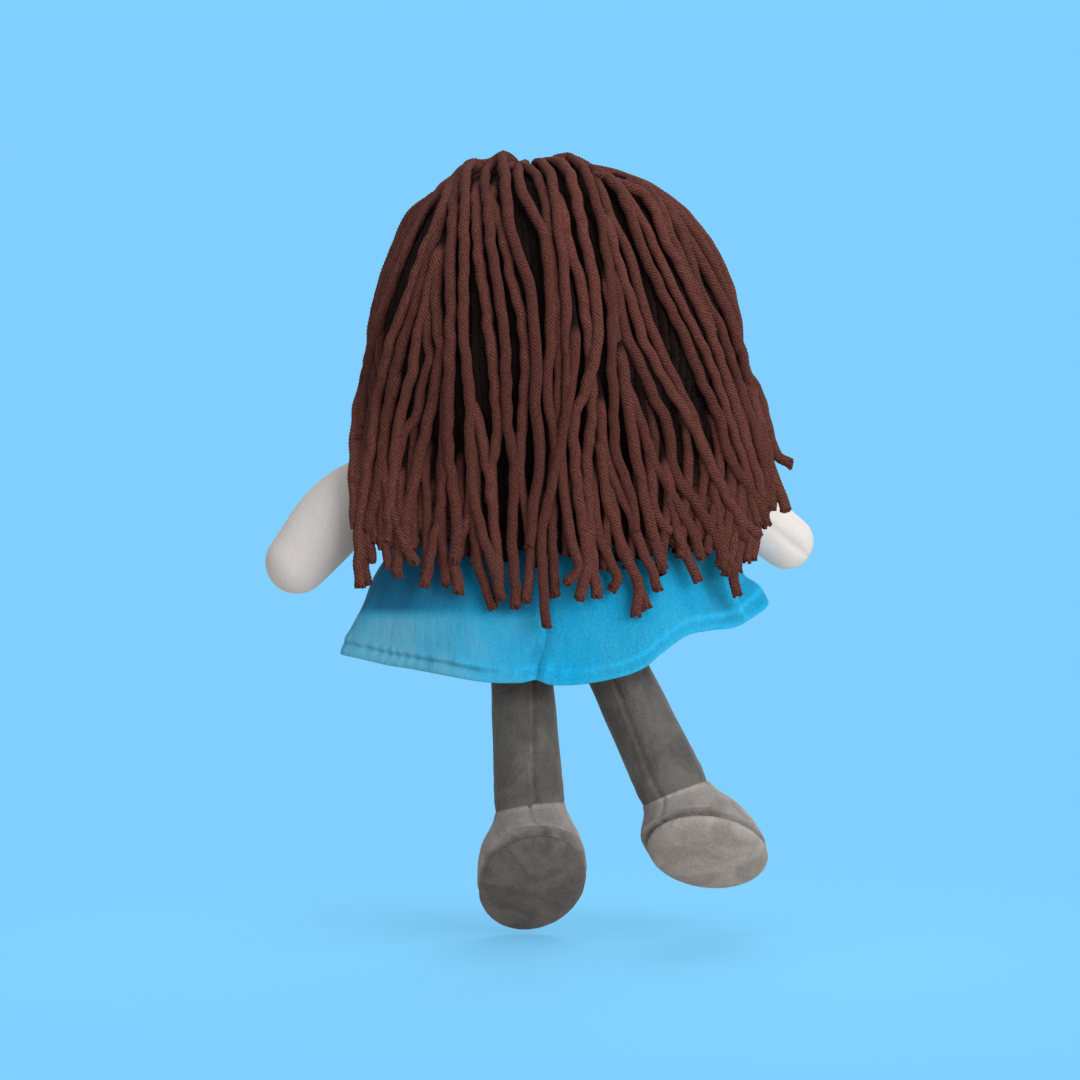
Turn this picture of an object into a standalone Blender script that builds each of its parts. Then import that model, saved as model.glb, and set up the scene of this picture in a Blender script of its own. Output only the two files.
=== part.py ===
"""Rag doll: stuffed head, torso, arms and legs, a plush A-line dress, plush stockings, soft
shoes and a heavy head of yarn hair. The doll faces -Y and is modelled upright, with its seat
at the origin. Lengths are in metres."""

import math

import bmesh
import bpy
from mathutils import Matrix, Vector

# Driving sizes of the whole doll
SEAT_TO_NECK = 0.078
SEAT_BEHIND_BODY = 0.0205
TORSO_HALF_WIDTH = 0.047
TORSO_HALF_DEPTH = 0.0285

# Cloth and clearances
CREASE_DEG = 50.0
SKIN_THICKNESS = 0.0015
DRESS_THICKNESS = 0.0016
SEWN_GAP = 0.0003
STUFFING_GAP = 0.0008
JOINT_CLEARANCE = 0.0006
CUT_OVERRUN = 0.02

# Head
HEAD_HALF_WIDTH = 0.0795
HEAD_HALF_DEPTH = 0.060
HEAD_HALF_HEIGHT = 0.064
CHIN_HEIGHT = 0.090
HEAD_TAPER_SHARE = 0.20
HEAD_PLAN_POWER = 2.1
HEAD_SIDE_POWER = 2.5
HEAD_SEGMENTS = 24
HEAD_RINGS = 14

# Neck bulb, which fills a socket under the head
NECK_PIVOT_HEIGHT = 0.095
NECK_RADIUS = 0.022

# Face, embroidered
EYE_SPACING = 0.056
EYE_HEIGHT = 0.139
EYE_HALF_WIDTH = 0.0052
EYE_HALF_HEIGHT = 0.0068
MOUTH_HEIGHT = 0.117
MOUTH_HALF_WIDTH = 0.010
MOUTH_HALF_HEIGHT = 0.0016
MOUTH_CURVE = 0.004
MOUTH_END_SHARE = 0.25
STITCH_THICKNESS = 0.0009
PATCH_SIDES = 14

# Torso rows from the seat up to the neck, as shares of height, half width, half depth and shift back
TORSO_ROW_SHARES = (
    (0.0, 0.66, 0.70, 1.0),
    (0.06, 0.86, 0.86, 0.75),
    (0.18, 0.97, 0.97, 0.5),
    (0.38, 1.0, 1.0, 0.25),
    (0.62, 0.96, 0.95, 0.0),
    (0.83, 0.90, 0.86, 0.0),
    (0.93, 0.80, 0.72, 0.0),
    (0.98, 0.60, 0.62, 0.0),
)
TORSO_SHIFT_BACK = 0.008
TORSO_SIDES = 20

# Arms: route points out from the shoulder, each arm as the photograph shows it lying
SHOULDER_HALF_WIDTH = 0.047
SHOULDER_HEIGHT = 0.070
ARM_RADIUS = 0.0135
HAND_RADIUS = 0.0180
HAND_THICKNESS_SHARE = 0.80
LEFT_ARM_ROUTE = (
    Vector((0.0, 0.0, 0.0)),
    Vector((0.023, -0.001, 0.005)),
    Vector((0.046, -0.001, -0.003)),
    Vector((0.069, -0.001, -0.028)),
)
RIGHT_ARM_ROUTE = (
    Vector((0.0, 0.0, 0.0)),
    Vector((-0.020, -0.010, 0.003)),
    Vector((-0.038, -0.026, -0.004)),
    Vector((-0.055, -0.037, -0.017)),
)
RIGHT_HAND_RADIUS = 0.0155
ARM_SIDES = 12
ARM_STEPS = 3
ARM_STUFFING_GAP = 0.0012
CAP_STEPS = 3
SHOULDER_OPEN_SHARE = 0.66

# Legs and shoes
HIP_HALF_SPACING = 0.0170
HIP_HEIGHT = 0.0150
HIP_FORWARD = 0.0080
THIGH_RADIUS = 0.0140
ANKLE_RADIUS = 0.0165
LEG_LENGTH = 0.088
LEG_STEPS = 3
LEG_FLARE_POWER = 1.5
LEFT_LEG_SPLAY_DEG = -3.5
RIGHT_LEG_SPLAY_DEG = 25.4
LEFT_FOOT_TWIST_DEG = 0.0
RIGHT_FOOT_TWIST_DEG = 22.0
FOOT_DROP_DEG = 48.6
SOLE_HALF_LENGTH = 0.0335
SOLE_HALF_WIDTH = 0.0253
SOLE_BELOW_ANKLE = 0.036
SOLE_AHEAD_OF_ANKLE = 0.005
SOLE_SEAM_GAP = 0.0011
SOLE_THICKNESS = 0.0030
SOLE_DOME = 0.0035
SOLE_EDGE_SHARE = 0.97
SOLE_MIDDLE_SHARE = 0.55
SOLE_MIDDLE_DOME_SHARE = 0.75
SHOE_SIDES = 18
SHOE_STUFFING_GAP = 0.0046
# Shoe rings between ankle and sole: share of the way, then of the sole's half width and half length
SHOE_SWELL_SHARES = (
    (0.0, 0.0, 0.0),
    (0.22, 0.46, 0.32),
    (0.46, 0.84, 0.66),
    (0.72, 1.05, 0.93),
    (0.90, 1.06, 1.02),
    (1.0, 1.0, 1.0),
)

# Range of the hips, which the underside of the torso leaves room for
HIP_BACK_DEG = 20.0
HIP_FORWARD_DEG = 95.0
HIP_SWEEP_STEPS = 7
HIP_SWEEP_REACH = 0.060

# Dress rows from the neck down to the hem, as shares of the hem's half width, half depth and height
DRESS_HALF_WIDTH = 0.0970
DRESS_HALF_DEPTH = 0.0350
DRESS_ROW_SHARES = (
    (0.235, 0.60, 0.0),
    (0.35, 0.68, 0.018),
    (0.455, 0.74, 0.06),
    (0.50, 0.80, 0.15),
    (0.60, 0.855, 0.29),
    (0.715, 0.90, 0.44),
    (0.83, 0.945, 0.58),
    (0.925, 0.98, 0.72),
    (0.98, 1.0, 0.87),
    (1.0, 1.0, 1.0),
)
DRESS_TOP_HEIGHT = 0.0805
DRESS_SHIFT_BACK = 0.0020
HEM_BACK_DROP = 0.0165
HEM_FRONT_DROP = 0.0060
HEM_LEFT_DROP = 0.0010
HEM_RIGHT_LIFT = 0.0240
FOLD_DEPTH = 0.0022
FOLD_COUNT = 7
DRESS_SIDES = 56
ARMHOLE_CLEARANCE = 0.0036
ARMHOLE_SIDES = 28
ARMHOLE_START_SHARE = 0.7

# Hair: outline rows from the crown to the tips. The heights are shares of the crown's height
CROWN_HEIGHT = 0.2280
HAIR_HALF_WIDTH = 0.0980
HAIR_HALF_DEPTH = 0.0690
HAIR_ROW_SHARES = (
    (0.993, 0.32, 0.072, 0.13),
    (0.982, 0.42, 0.34, 0.12),
    (0.935, 0.53, 0.62, 0.07),
    (0.885, 0.65, 0.78, 0.06),
    (0.80, 0.775, 0.91, 0.04),
    (0.70, 0.85, 0.965, 0.02),
    (0.60, 0.885, 0.985, 0.0),
    (0.50, 0.945, 0.94, -0.02),
    (0.42, 0.985, 0.83, -0.03),
    (0.35, 0.99, 0.71, -0.035),
    (0.25, 0.975, 0.66, -0.03),
    (0.13, 0.95, 0.655, -0.01),
)
HAIR_THICKNESS = 0.0090
HAIR_BED = 0.0030
HAIR_BED_BOTTOM = 0.125
HAIR_EDGE_DEPTH = 0.0270
HAIR_WRAP_DEG = 100.0
HAIR_FALL_TOP = 0.142
HAIR_FALL_BOTTOM = 0.075
STRAND_RIDGE = 0.0014
BACK_STRANDS = 28
LOCK_STRANDS = 6
FRINGE_STRANDS = 9
TIP_RAGGED = 0.009
RAGGED_SHARES = (2.4, 0.9)
BACK_END_HEIGHT = 0.029
TIP_RISE_AT_EDGE = 0.012
LOCK_END_HEIGHT = 0.134
FRINGE_END_HEIGHT = 0.176
HAIR_PART_GAP_DEG = 2.5
LOCK_SPAN_DEG = 46.0
TAPE_HALF_LENGTH = 0.0220
TAPE_HALF_WIDTH = 0.0034
TAPE_THICKNESS = 0.0016
TAPE_SIDES = 20
TAPE_INNER_SHARE = 0.5
CROWN_ROUNDS = 6

MATERIALS = {
    "ivory_skin": ((0.80, 0.76, 0.70, 1.0), 0.9),
    "stuffing": ((0.93, 0.92, 0.90, 1.0), 1.0),
    "dark_thread": ((0.05, 0.04, 0.04, 1.0), 0.6),
    "red_thread": ((0.55, 0.16, 0.16, 1.0), 0.6),
    "brown_yarn": ((0.19, 0.085, 0.070, 1.0), 0.95),
    "tape": ((0.16, 0.07, 0.06, 1.0), 0.9),
    "blue_plush": ((0.03, 0.36, 0.66, 1.0), 0.85),
    "dark_grey_plush": ((0.12, 0.11, 0.105, 1.0), 0.9),
    "light_grey_plush": ((0.24, 0.23, 0.22, 1.0), 0.9),
    "sole_plush": ((0.14, 0.135, 0.13, 1.0), 0.9),
}


def clear_scene():
    for thing in list(bpy.data.objects):
        bpy.data.objects.remove(thing, do_unlink=True)


def material(name):
    found = bpy.data.materials.get(name)
    if found:
        return found
    colour, roughness = MATERIALS[name]
    made = bpy.data.materials.new(name)
    made.use_nodes = True
    shader = made.node_tree.nodes["Principled BSDF"]
    shader.inputs["Base Color"].default_value = colour
    shader.inputs["Roughness"].default_value = roughness
    shader.inputs["Metallic"].default_value = 0.0
    made.diffuse_color = colour
    return made


def empty(name, place, parent=None):
    axis = bpy.data.objects.new(name, None)
    axis.location = place
    axis.parent = parent
    bpy.context.collection.objects.link(axis)
    return axis


def add_object(name, bm, look, axis):
    """Closes the bmesh into an object that hangs on its joint's empty, with its mesh in the doll's own frame."""
    bmesh.ops.recalc_face_normals(bm, faces=bm.faces)
    mesh = bpy.data.meshes.new(name)
    bm.to_mesh(mesh)
    bm.free()
    mesh.shade_smooth()
    mesh.set_sharp_from_angle(angle=math.radians(CREASE_DEG))
    made = bpy.data.objects.new(name, mesh)
    bpy.context.collection.objects.link(made)
    made.parent = axis
    if axis.parent:
        made.location = -axis.location
    if look:
        mesh.materials.append(material(look))
    return made


def add_cutter(name, bm, frame):
    cutter = add_object(name, bm, None, frame)
    cutter.hide_render = True
    cutter.display_type = "WIRE"
    return cutter


def thicken(piece, thickness):
    shell = piece.modifiers.new("cloth", "SOLIDIFY")
    shell.thickness = thickness
    shell.offset = -1.0
    shell.use_even_offset = True


def cut(piece, *cutters):
    for cutter in cutters:
        remove = piece.modifiers.new(cutter.name, "BOOLEAN")
        remove.operation = "DIFFERENCE"
        remove.object = cutter


def loft(bm, rings, close_start=False, close_end=False):
    """Joins rings of points, each closed on itself. A ring of one point is a pole."""
    rows = [[bm.verts.new(point) for point in ring] for ring in rings]
    for first, second in zip(rows, rows[1:]):
        count = max(len(first), len(second))
        for step in range(count):
            onward = (step + 1) % count
            if len(first) == 1:
                corners = (first[0], second[step], second[onward])
            elif len(second) == 1:
                corners = (first[step], second[0], first[onward])
            else:
                corners = (first[step], second[step], second[onward], first[onward])
            bm.faces.new(corners)
    if close_start:
        bm.faces.new(rows[0])
    if close_end:
        bm.faces.new(rows[-1])


def box_cutter(name, low, high, frame):
    bm = bmesh.new()
    middle = (low + high) / 2
    size = high - low
    bmesh.ops.create_cube(bm, size=1.0, matrix=Matrix.Translation(middle) @ Matrix.Diagonal((*size, 1.0)))
    return add_cutter(name, bm, frame)


def ball_cutter(name, centre, radius, frame):
    bm = bmesh.new()
    bmesh.ops.create_icosphere(bm, subdivisions=3, radius=radius, matrix=Matrix.Translation(centre))
    return add_cutter(name, bm, frame)


def smooth_route(points, steps):
    """A curve through the points, with the given number of stretches between two of them."""
    ends = [points[0] * 2 - points[1], *points, points[-1] * 2 - points[-2]]
    curve = []
    for before, start, end, after in zip(ends, ends[1:], ends[2:], ends[3:]):
        for step in range(steps):
            t = step / steps
            curve.append(
                0.5
                * (
                    2 * start
                    + (end - before) * t
                    + (2 * before - 5 * start + 4 * end - after) * t**2
                    + (3 * start - before - 3 * end + after) * t**3
                )
            )
    curve.append(points[-1].copy())
    return curve


def oval(centre, across, along, half_across, half_along, sides):
    ring = []
    for step in range(sides):
        angle = math.tau * step / sides
        ring.append(centre + across * (half_across * math.cos(angle)) + along * (half_along * math.sin(angle)))
    return ring


# Head


def head_centre():
    return Vector((0.0, 0.0, CHIN_HEIGHT + HEAD_HALF_HEIGHT))


def head_point(direction, inset):
    plan = (abs(direction.x) ** HEAD_PLAN_POWER + abs(direction.y) ** HEAD_PLAN_POWER) ** (1 / HEAD_PLAN_POWER)
    reach = (plan**HEAD_SIDE_POWER + abs(direction.z) ** HEAD_SIDE_POWER) ** (-1 / HEAD_SIDE_POWER)
    unit = direction * reach
    taper = 1 - HEAD_TAPER_SHARE * unit.z
    return head_centre() + Vector(
        (
            (HEAD_HALF_WIDTH - inset) * unit.x * taper,
            (HEAD_HALF_DEPTH - inset) * unit.y,
            (HEAD_HALF_HEIGHT - inset) * unit.z,
        )
    )


def head_front(x, z, outset):
    """The face's Y at a place on it, outset from the cloth."""
    rise = (z - head_centre().z) / HEAD_HALF_HEIGHT
    plan = (1 - abs(rise) ** HEAD_SIDE_POWER) ** (1 / HEAD_SIDE_POWER)
    aside = abs(x) / (HEAD_HALF_WIDTH * (1 - HEAD_TAPER_SHARE * rise))
    return -HEAD_HALF_DEPTH * (plan**HEAD_PLAN_POWER - aside**HEAD_PLAN_POWER) ** (1 / HEAD_PLAN_POWER) - outset


def head_ball(inset):
    bm = bmesh.new()
    bmesh.ops.create_uvsphere(bm, u_segments=HEAD_SEGMENTS, v_segments=HEAD_RINGS, radius=1.0)
    for vert in bm.verts:
        vert.co = head_point(vert.co.normalized(), inset)
    return bm


def make_head(axis, frame):
    socket = ball_cutter("neck_socket_cut", Vector((0, 0, NECK_PIVOT_HEIGHT)), NECK_RADIUS + JOINT_CLEARANCE, frame)
    reach = HEAD_HALF_WIDTH + HEAD_HALF_DEPTH + CUT_OVERRUN
    for name, side in (("head_face_panel", -1), ("head_back_panel", 1)):
        panel = add_object(name, head_ball(0.0), "ivory_skin", axis)
        thicken(panel, SKIN_THICKNESS)
        seam = -side * reach / 2 + side * SEWN_GAP / 2
        other_half = box_cutter(
            name + "_seam_cut",
            head_centre() + Vector((-reach, seam - reach / 2, -reach)),
            head_centre() + Vector((reach, seam + reach / 2, reach)),
            frame,
        )
        cut(panel, other_half, socket)
    stuffing = add_object("head_stuffing", head_ball(SKIN_THICKNESS + STUFFING_GAP), "stuffing", axis)
    cut(stuffing, socket)


def make_patch(name, look, outline, centre_x, centre_z, axis):
    """A raised patch of satin stitch that follows the face. The outline gives X and Z from its middle."""
    bm = bmesh.new()
    rings = []
    for outset in (SEWN_GAP, SEWN_GAP + STITCH_THICKNESS):
        ring = []
        for x, z in outline:
            ring.append(Vector((centre_x + x, head_front(centre_x + x, centre_z + z, outset), centre_z + z)))
        rings.append(ring)
    back_middle = Vector((centre_x, head_front(centre_x, centre_z, SEWN_GAP), centre_z))
    front_middle = Vector((centre_x, head_front(centre_x, centre_z, SEWN_GAP + STITCH_THICKNESS), centre_z))
    loft(bm, [[back_middle], *rings, [front_middle]])
    add_object(name, bm, look, axis)


def make_face(axis):
    eye = []
    for step in range(PATCH_SIDES):
        angle = math.tau * step / PATCH_SIDES
        eye.append((EYE_HALF_WIDTH * math.cos(angle), EYE_HALF_HEIGHT * math.sin(angle)))
    for name, side in (("left_eye", 1), ("right_eye", -1)):
        make_patch(name, "dark_thread", eye, side * EYE_SPACING / 2, EYE_HEIGHT, axis)
    upper = []
    lower = []
    for step in range(PATCH_SIDES // 2 + 1):
        share = 2 * step / (PATCH_SIDES // 2) - 1
        bend = MOUTH_CURVE * share**2
        body = MOUTH_HALF_HEIGHT * (1 - (1 - MOUTH_END_SHARE) * share**2)
        upper.append((MOUTH_HALF_WIDTH * share, bend + body))
        lower.append((MOUTH_HALF_WIDTH * share, bend - body))
    make_patch("mouth", "red_thread", upper + lower[::-1], 0.0, MOUTH_HEIGHT, axis)


# Torso


def torso_rings(inset):
    rings = []
    for height, width, depth, shift in TORSO_ROW_SHARES:
        z = inset + height * (SEAT_TO_NECK - 2 * inset)
        centre = Vector((0, shift * TORSO_SHIFT_BACK, z))
        half_width = width * TORSO_HALF_WIDTH - inset
        half_depth = depth * TORSO_HALF_DEPTH - inset
        rings.append(oval(centre, Vector((1, 0, 0)), Vector((0, 1, 0)), half_width, half_depth, TORSO_SIDES))
    return rings


def neck_rings(inset):
    """The bulb from where it leaves the torso's top to its own top."""
    centre = Vector((0, 0, NECK_PIVOT_HEIGHT))
    radius = NECK_RADIUS - inset
    foot = math.asin((SEAT_TO_NECK - inset / 2 - NECK_PIVOT_HEIGHT) / radius)
    rings = []
    rows = HEAD_RINGS // 2
    for step in range(rows):
        lift = foot + (math.pi / 2 - foot) * step / rows
        ring_centre = centre + Vector((0, 0, radius * math.sin(lift)))
        half = radius * math.cos(lift)
        rings.append(oval(ring_centre, Vector((1, 0, 0)), Vector((0, 1, 0)), half, half, TORSO_SIDES))
    rings.append([centre + Vector((0, 0, radius))])
    return rings


def torso_body(inset):
    bm = bmesh.new()
    loft(bm, torso_rings(inset) + neck_rings(inset), close_start=True)
    return bm


def hip_sweep_cutter(name, side, splay_deg, frame):
    """The room that a leg needs from its furthest back to its furthest forward."""
    hip, splay, _ = leg_frame(side, splay_deg, 0.0)
    down = splay @ Vector((0, 0, -1))
    radius = THIGH_RADIUS + JOINT_CLEARANCE
    balls = bmesh.new()
    bmesh.ops.create_icosphere(balls, subdivisions=3, radius=radius, matrix=Matrix.Translation(hip))
    for step in range(HIP_SWEEP_STEPS):
        turn = -HIP_BACK_DEG + (HIP_BACK_DEG + HIP_FORWARD_DEG) * step / (HIP_SWEEP_STEPS - 1)
        along = Matrix.Rotation(-math.radians(turn), 3, "X") @ down
        far = Matrix.Translation(hip + along * HIP_SWEEP_REACH)
        bmesh.ops.create_icosphere(balls, subdivisions=2, radius=radius + JOINT_CLEARANCE, matrix=far)
    bm = bmesh.new()
    for vert in balls.verts:
        bm.verts.new(vert.co)
    balls.free()
    bmesh.ops.convex_hull(bm, input=bm.verts)
    loose = [vert for vert in bm.verts if not vert.link_faces]
    bmesh.ops.delete(bm, geom=loose, context="VERTS")
    return add_cutter(name, bm, frame)


def make_torso(frame, hip_cutters, shoulder_cutters):
    reach = TORSO_HALF_WIDTH + TORSO_HALF_DEPTH + NECK_PIVOT_HEIGHT + CUT_OVERRUN
    for name, side in (("torso_front_panel", -1), ("torso_back_panel", 1)):
        panel = add_object(name, torso_body(0.0), "ivory_skin", frame)
        thicken(panel, SKIN_THICKNESS)
        seam = -side * reach / 2 + side * SEWN_GAP / 2
        other_half = box_cutter(
            name + "_seam_cut",
            Vector((-reach, seam - reach / 2, -reach)),
            Vector((reach, seam + reach / 2, reach)),
            frame,
        )
        cut(panel, other_half, *hip_cutters, *shoulder_cutters)
    stuffing = add_object("torso_stuffing", torso_body(SKIN_THICKNESS + STUFFING_GAP), "stuffing", frame)
    cut(stuffing, *hip_cutters, *shoulder_cutters)


# Arms


def arm_rings(shoulder, route, hand_radius, inset):
    """Rings from the open end at the shoulder, along the route, to a round hand."""
    line = [shoulder + point for point in smooth_route(route, ARM_STEPS)]
    travelled = [0.0]
    for here, onward in zip(line, line[1:]):
        travelled.append(travelled[-1] + (onward - here).length)
    rings = []
    first = (line[1] - line[0]).normalized()
    for step in range(CAP_STEPS, 0, -1):
        turn = math.asin(SHOULDER_OPEN_SHARE) * step / CAP_STEPS
        centre = line[0] + Vector((math.copysign(1, -first.x), 0, 0)) * (ARM_RADIUS * math.sin(turn))
        half = ARM_RADIUS * math.cos(turn) - inset
        rings.append(arm_ring(centre, Vector((math.copysign(1, first.x), 0, 0)), half, half))
    for index, centre in enumerate(line):
        before = line[max(index - 1, 0)]
        after = line[min(index + 1, len(line) - 1)]
        along = (after - before).normalized()
        share = travelled[index] / travelled[-1]
        swell = share * share * (3 - 2 * share)
        half = ARM_RADIUS + (hand_radius - ARM_RADIUS) * swell
        thin = 1 + (HAND_THICKNESS_SHARE - 1) * swell
        if index == 0:
            along = Vector((math.copysign(1, first.x), 0, 0))
        rings.append(arm_ring(centre, along, half - inset, half * thin - inset))
    end = line[-1]
    along = (line[-1] - line[-2]).normalized()
    for step in range(1, CAP_STEPS + 1):
        turn = math.pi / 2 * step / (CAP_STEPS + 1)
        centre = end + along * ((hand_radius - inset) * math.sin(turn))
        half = (hand_radius - inset) * math.cos(turn)
        thick = (hand_radius * HAND_THICKNESS_SHARE - inset) * math.cos(turn)
        rings.append(arm_ring(centre, along, half, thick))
    rings.append([end + along * (hand_radius - inset)])
    return rings


def arm_ring(centre, along, half_height, half_depth):
    depth_way = (Vector((0, 1, 0)) - along * along.y).normalized()
    height_way = along.cross(depth_way)
    return oval(centre, height_way, depth_way, half_height, half_depth, ARM_SIDES)


def make_arm(side_name, side, route, hand_radius, axis):
    shoulder = Vector((side * SHOULDER_HALF_WIDTH, 0, SHOULDER_HEIGHT))
    bm = bmesh.new()
    loft(bm, arm_rings(shoulder, route, hand_radius, 0.0))
    skin = add_object(side_name + "_arm_skin", bm, "ivory_skin", axis)
    thicken(skin, SKIN_THICKNESS)
    bm = bmesh.new()
    loft(bm, arm_rings(shoulder, route, hand_radius, SKIN_THICKNESS + ARM_STUFFING_GAP), close_start=True)
    add_object(side_name + "_arm_stuffing", bm, "stuffing", axis)


# Legs and shoes


def leg_frame(side, splay_deg, twist_deg):
    """The hip, and the leg's own across, ahead and up directions, after its splay and the foot's turn out."""
    hip = Vector((side * HIP_HALF_SPACING, -HIP_FORWARD, HIP_HEIGHT))
    splay = Matrix.Rotation(-side * math.radians(splay_deg), 3, "Y")
    twist = Matrix.Rotation(side * math.radians(twist_deg), 3, "Z")
    return hip, splay, splay @ twist


def leg_rings(hip, splay, inset):
    down = splay @ Vector((0, 0, -1))
    across = splay @ Vector((1, 0, 0))
    ahead = Vector((0, 1, 0))
    rings = [[hip - down * (THIGH_RADIUS - inset)]]
    for step in range(CAP_STEPS, 0, -1):
        turn = math.pi / 2 * step / (CAP_STEPS + 1)
        centre = hip - down * ((THIGH_RADIUS - inset) * math.sin(turn))
        half = (THIGH_RADIUS - inset) * math.cos(turn)
        rings.append(oval(centre, across, ahead, half, half, SHOE_SIDES))
    for step in range(LEG_STEPS + 1):
        share = step / LEG_STEPS
        half = THIGH_RADIUS + (ANKLE_RADIUS - THIGH_RADIUS) * share**LEG_FLARE_POWER - inset
        rings.append(oval(hip + down * (LEG_LENGTH * share), across, ahead, half, half, SHOE_SIDES))
    return rings


def foot_ways(turned):
    """Toe-ward and sole-ward directions of the foot, which hangs with its toes down."""
    drop = math.radians(FOOT_DROP_DEG)
    toe = turned @ Vector((0, -math.sin(drop), -math.cos(drop)))
    sole = turned @ Vector((0, math.cos(drop), -math.sin(drop)))
    return toe, sole


def shoe_rings(hip, splay, turned, inset, lower):
    down = splay @ Vector((0, 0, -1))
    ankle = hip + down * (LEG_LENGTH + lower)
    toe, sole = foot_ways(turned)
    ahead = turned @ Vector((0, -1, 0))
    across = turned @ Vector((1, 0, 0))
    middle = hip + down * (LEG_LENGTH + SOLE_BELOW_ANKLE) + ahead * SOLE_AHEAD_OF_ANKLE
    rings = []
    for way, wide, long in SHOE_SWELL_SHARES:
        centre = ankle.lerp(middle, way)
        facing = down.lerp(sole, way).normalized()
        side_way = (across - facing * across.dot(facing)).normalized()
        long_way = side_way.cross(facing)
        half_width = ANKLE_RADIUS + (SOLE_HALF_WIDTH - ANKLE_RADIUS) * wide - inset
        half_length = ANKLE_RADIUS + (SOLE_HALF_LENGTH - ANKLE_RADIUS) * long - inset
        rings.append(oval(centre, side_way, long_way, half_width, half_length, SHOE_SIDES))
    return rings, middle, sole


def sole_body(outline, middle, sole_way):
    """The padded sole under the shoe's lower edge, with a low dome underneath."""
    lower = middle + sole_way * SOLE_SEAM_GAP
    rings = []
    for size, depth in (
        (1.0, 0.0),
        (SOLE_EDGE_SHARE, SOLE_THICKNESS),
        (SOLE_MIDDLE_SHARE, SOLE_THICKNESS + SOLE_DOME * SOLE_MIDDLE_DOME_SHARE),
    ):
        rings.append([lower + (point - middle) * size + sole_way * depth for point in outline])
    bm = bmesh.new()
    loft(bm, [*rings, [lower + sole_way * (SOLE_THICKNESS + SOLE_DOME)]], close_start=True)
    return bm


def make_leg(side_name, side, splay_deg, twist_deg, axis):
    hip, splay, turned = leg_frame(side, splay_deg, twist_deg)
    bm = bmesh.new()
    loft(bm, leg_rings(hip, splay, 0.0))
    stocking = add_object(side_name + "_stocking", bm, "dark_grey_plush", axis)
    thicken(stocking, SKIN_THICKNESS)

    rings, middle, sole_way = shoe_rings(hip, splay, turned, 0.0, SEWN_GAP)
    bm = bmesh.new()
    loft(bm, rings)
    upper = add_object(side_name + "_shoe_upper", bm, "light_grey_plush", axis)
    thicken(upper, SKIN_THICKNESS)

    add_object(side_name + "_shoe_sole", sole_body(rings[-1], middle, sole_way), "sole_plush", axis)

    inset = SKIN_THICKNESS + STUFFING_GAP
    body = leg_rings(hip, splay, inset)
    foot, middle, sole_way = shoe_rings(hip, splay, turned, SKIN_THICKNESS + SHOE_STUFFING_GAP, SEWN_GAP)
    bm = bmesh.new()
    loft(bm, body[:-1] + foot, close_end=True)
    add_object(side_name + "_leg_stuffing", bm, "stuffing", axis)


# Dress


def hem_height(angle):
    """Height of the hem at an angle round the body, from the doll's left through its back."""
    back = max(math.sin(angle), 0.0)
    front = max(-math.sin(angle), 0.0)
    left = max(math.cos(angle), 0.0)
    right = max(-math.cos(angle), 0.0)
    return -HEM_BACK_DROP * back**2 - HEM_FRONT_DROP * front**2 - HEM_LEFT_DROP * left**2 + HEM_RIGHT_LIFT * right**4


def dress_point(angle, row):
    width, depth, fall = DRESS_ROW_SHARES[row]
    hem = hem_height(angle)
    z = DRESS_TOP_HEIGHT + (hem - DRESS_TOP_HEIGHT) * fall
    fold = FOLD_DEPTH * fall**2 * math.sin(FOLD_COUNT * angle)
    half_width = width * DRESS_HALF_WIDTH + fold
    half_depth = depth * DRESS_HALF_DEPTH + fold
    return Vector((half_width * math.cos(angle), fall * DRESS_SHIFT_BACK + half_depth * math.sin(angle), z))


def dress_body():
    rings = []
    for row in range(len(DRESS_ROW_SHARES)):
        rings.append([dress_point(math.tau * step / DRESS_SIDES, row) for step in range(DRESS_SIDES)])
    bm = bmesh.new()
    loft(bm, rings)
    return bm


def armhole_cutter(name, side, frame):
    bm = bmesh.new()
    radius = ARM_RADIUS + ARMHOLE_CLEARANCE
    length = SHOULDER_HALF_WIDTH
    middle = ARMHOLE_START_SHARE * SHOULDER_HALF_WIDTH + length / 2
    centre = Vector((side * middle, 0, SHOULDER_HEIGHT))
    turn = Matrix.Rotation(math.pi / 2, 4, "Y")
    bmesh.ops.create_cone(
        bm,
        cap_ends=True,
        segments=ARMHOLE_SIDES,
        radius1=radius,
        radius2=radius,
        depth=length,
        matrix=Matrix.Translation(centre) @ turn,
    )
    return add_cutter(name, bm, frame)


def make_dress(frame):
    armholes = [armhole_cutter("left_armhole_cut", 1, frame), armhole_cutter("right_armhole_cut", -1, frame)]
    reach = DRESS_HALF_WIDTH + DRESS_TOP_HEIGHT + CUT_OVERRUN
    half = SEWN_GAP / 2
    front_away = box_cutter("dress_front_cut", Vector((-reach, -half, -reach)), Vector((reach, reach, reach)), frame)
    back_away = box_cutter("dress_back_cut", Vector((-reach, -reach, -reach)), Vector((reach, half, reach)), frame)
    left_away = box_cutter("dress_left_cut", Vector((-half, -reach, -reach)), Vector((reach, reach, reach)), frame)
    right_away = box_cutter("dress_right_cut", Vector((-reach, -reach, -reach)), Vector((half, reach, reach)), frame)
    for name, away in (
        ("dress_front", [front_away]),
        ("dress_back_left", [back_away, right_away]),
        ("dress_back_right", [back_away, left_away]),
    ):
        panel = add_object(name, dress_body(), "blue_plush", frame)
        thicken(panel, DRESS_THICKNESS)
        cut(panel, *away, *armholes)


# Hair


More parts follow.
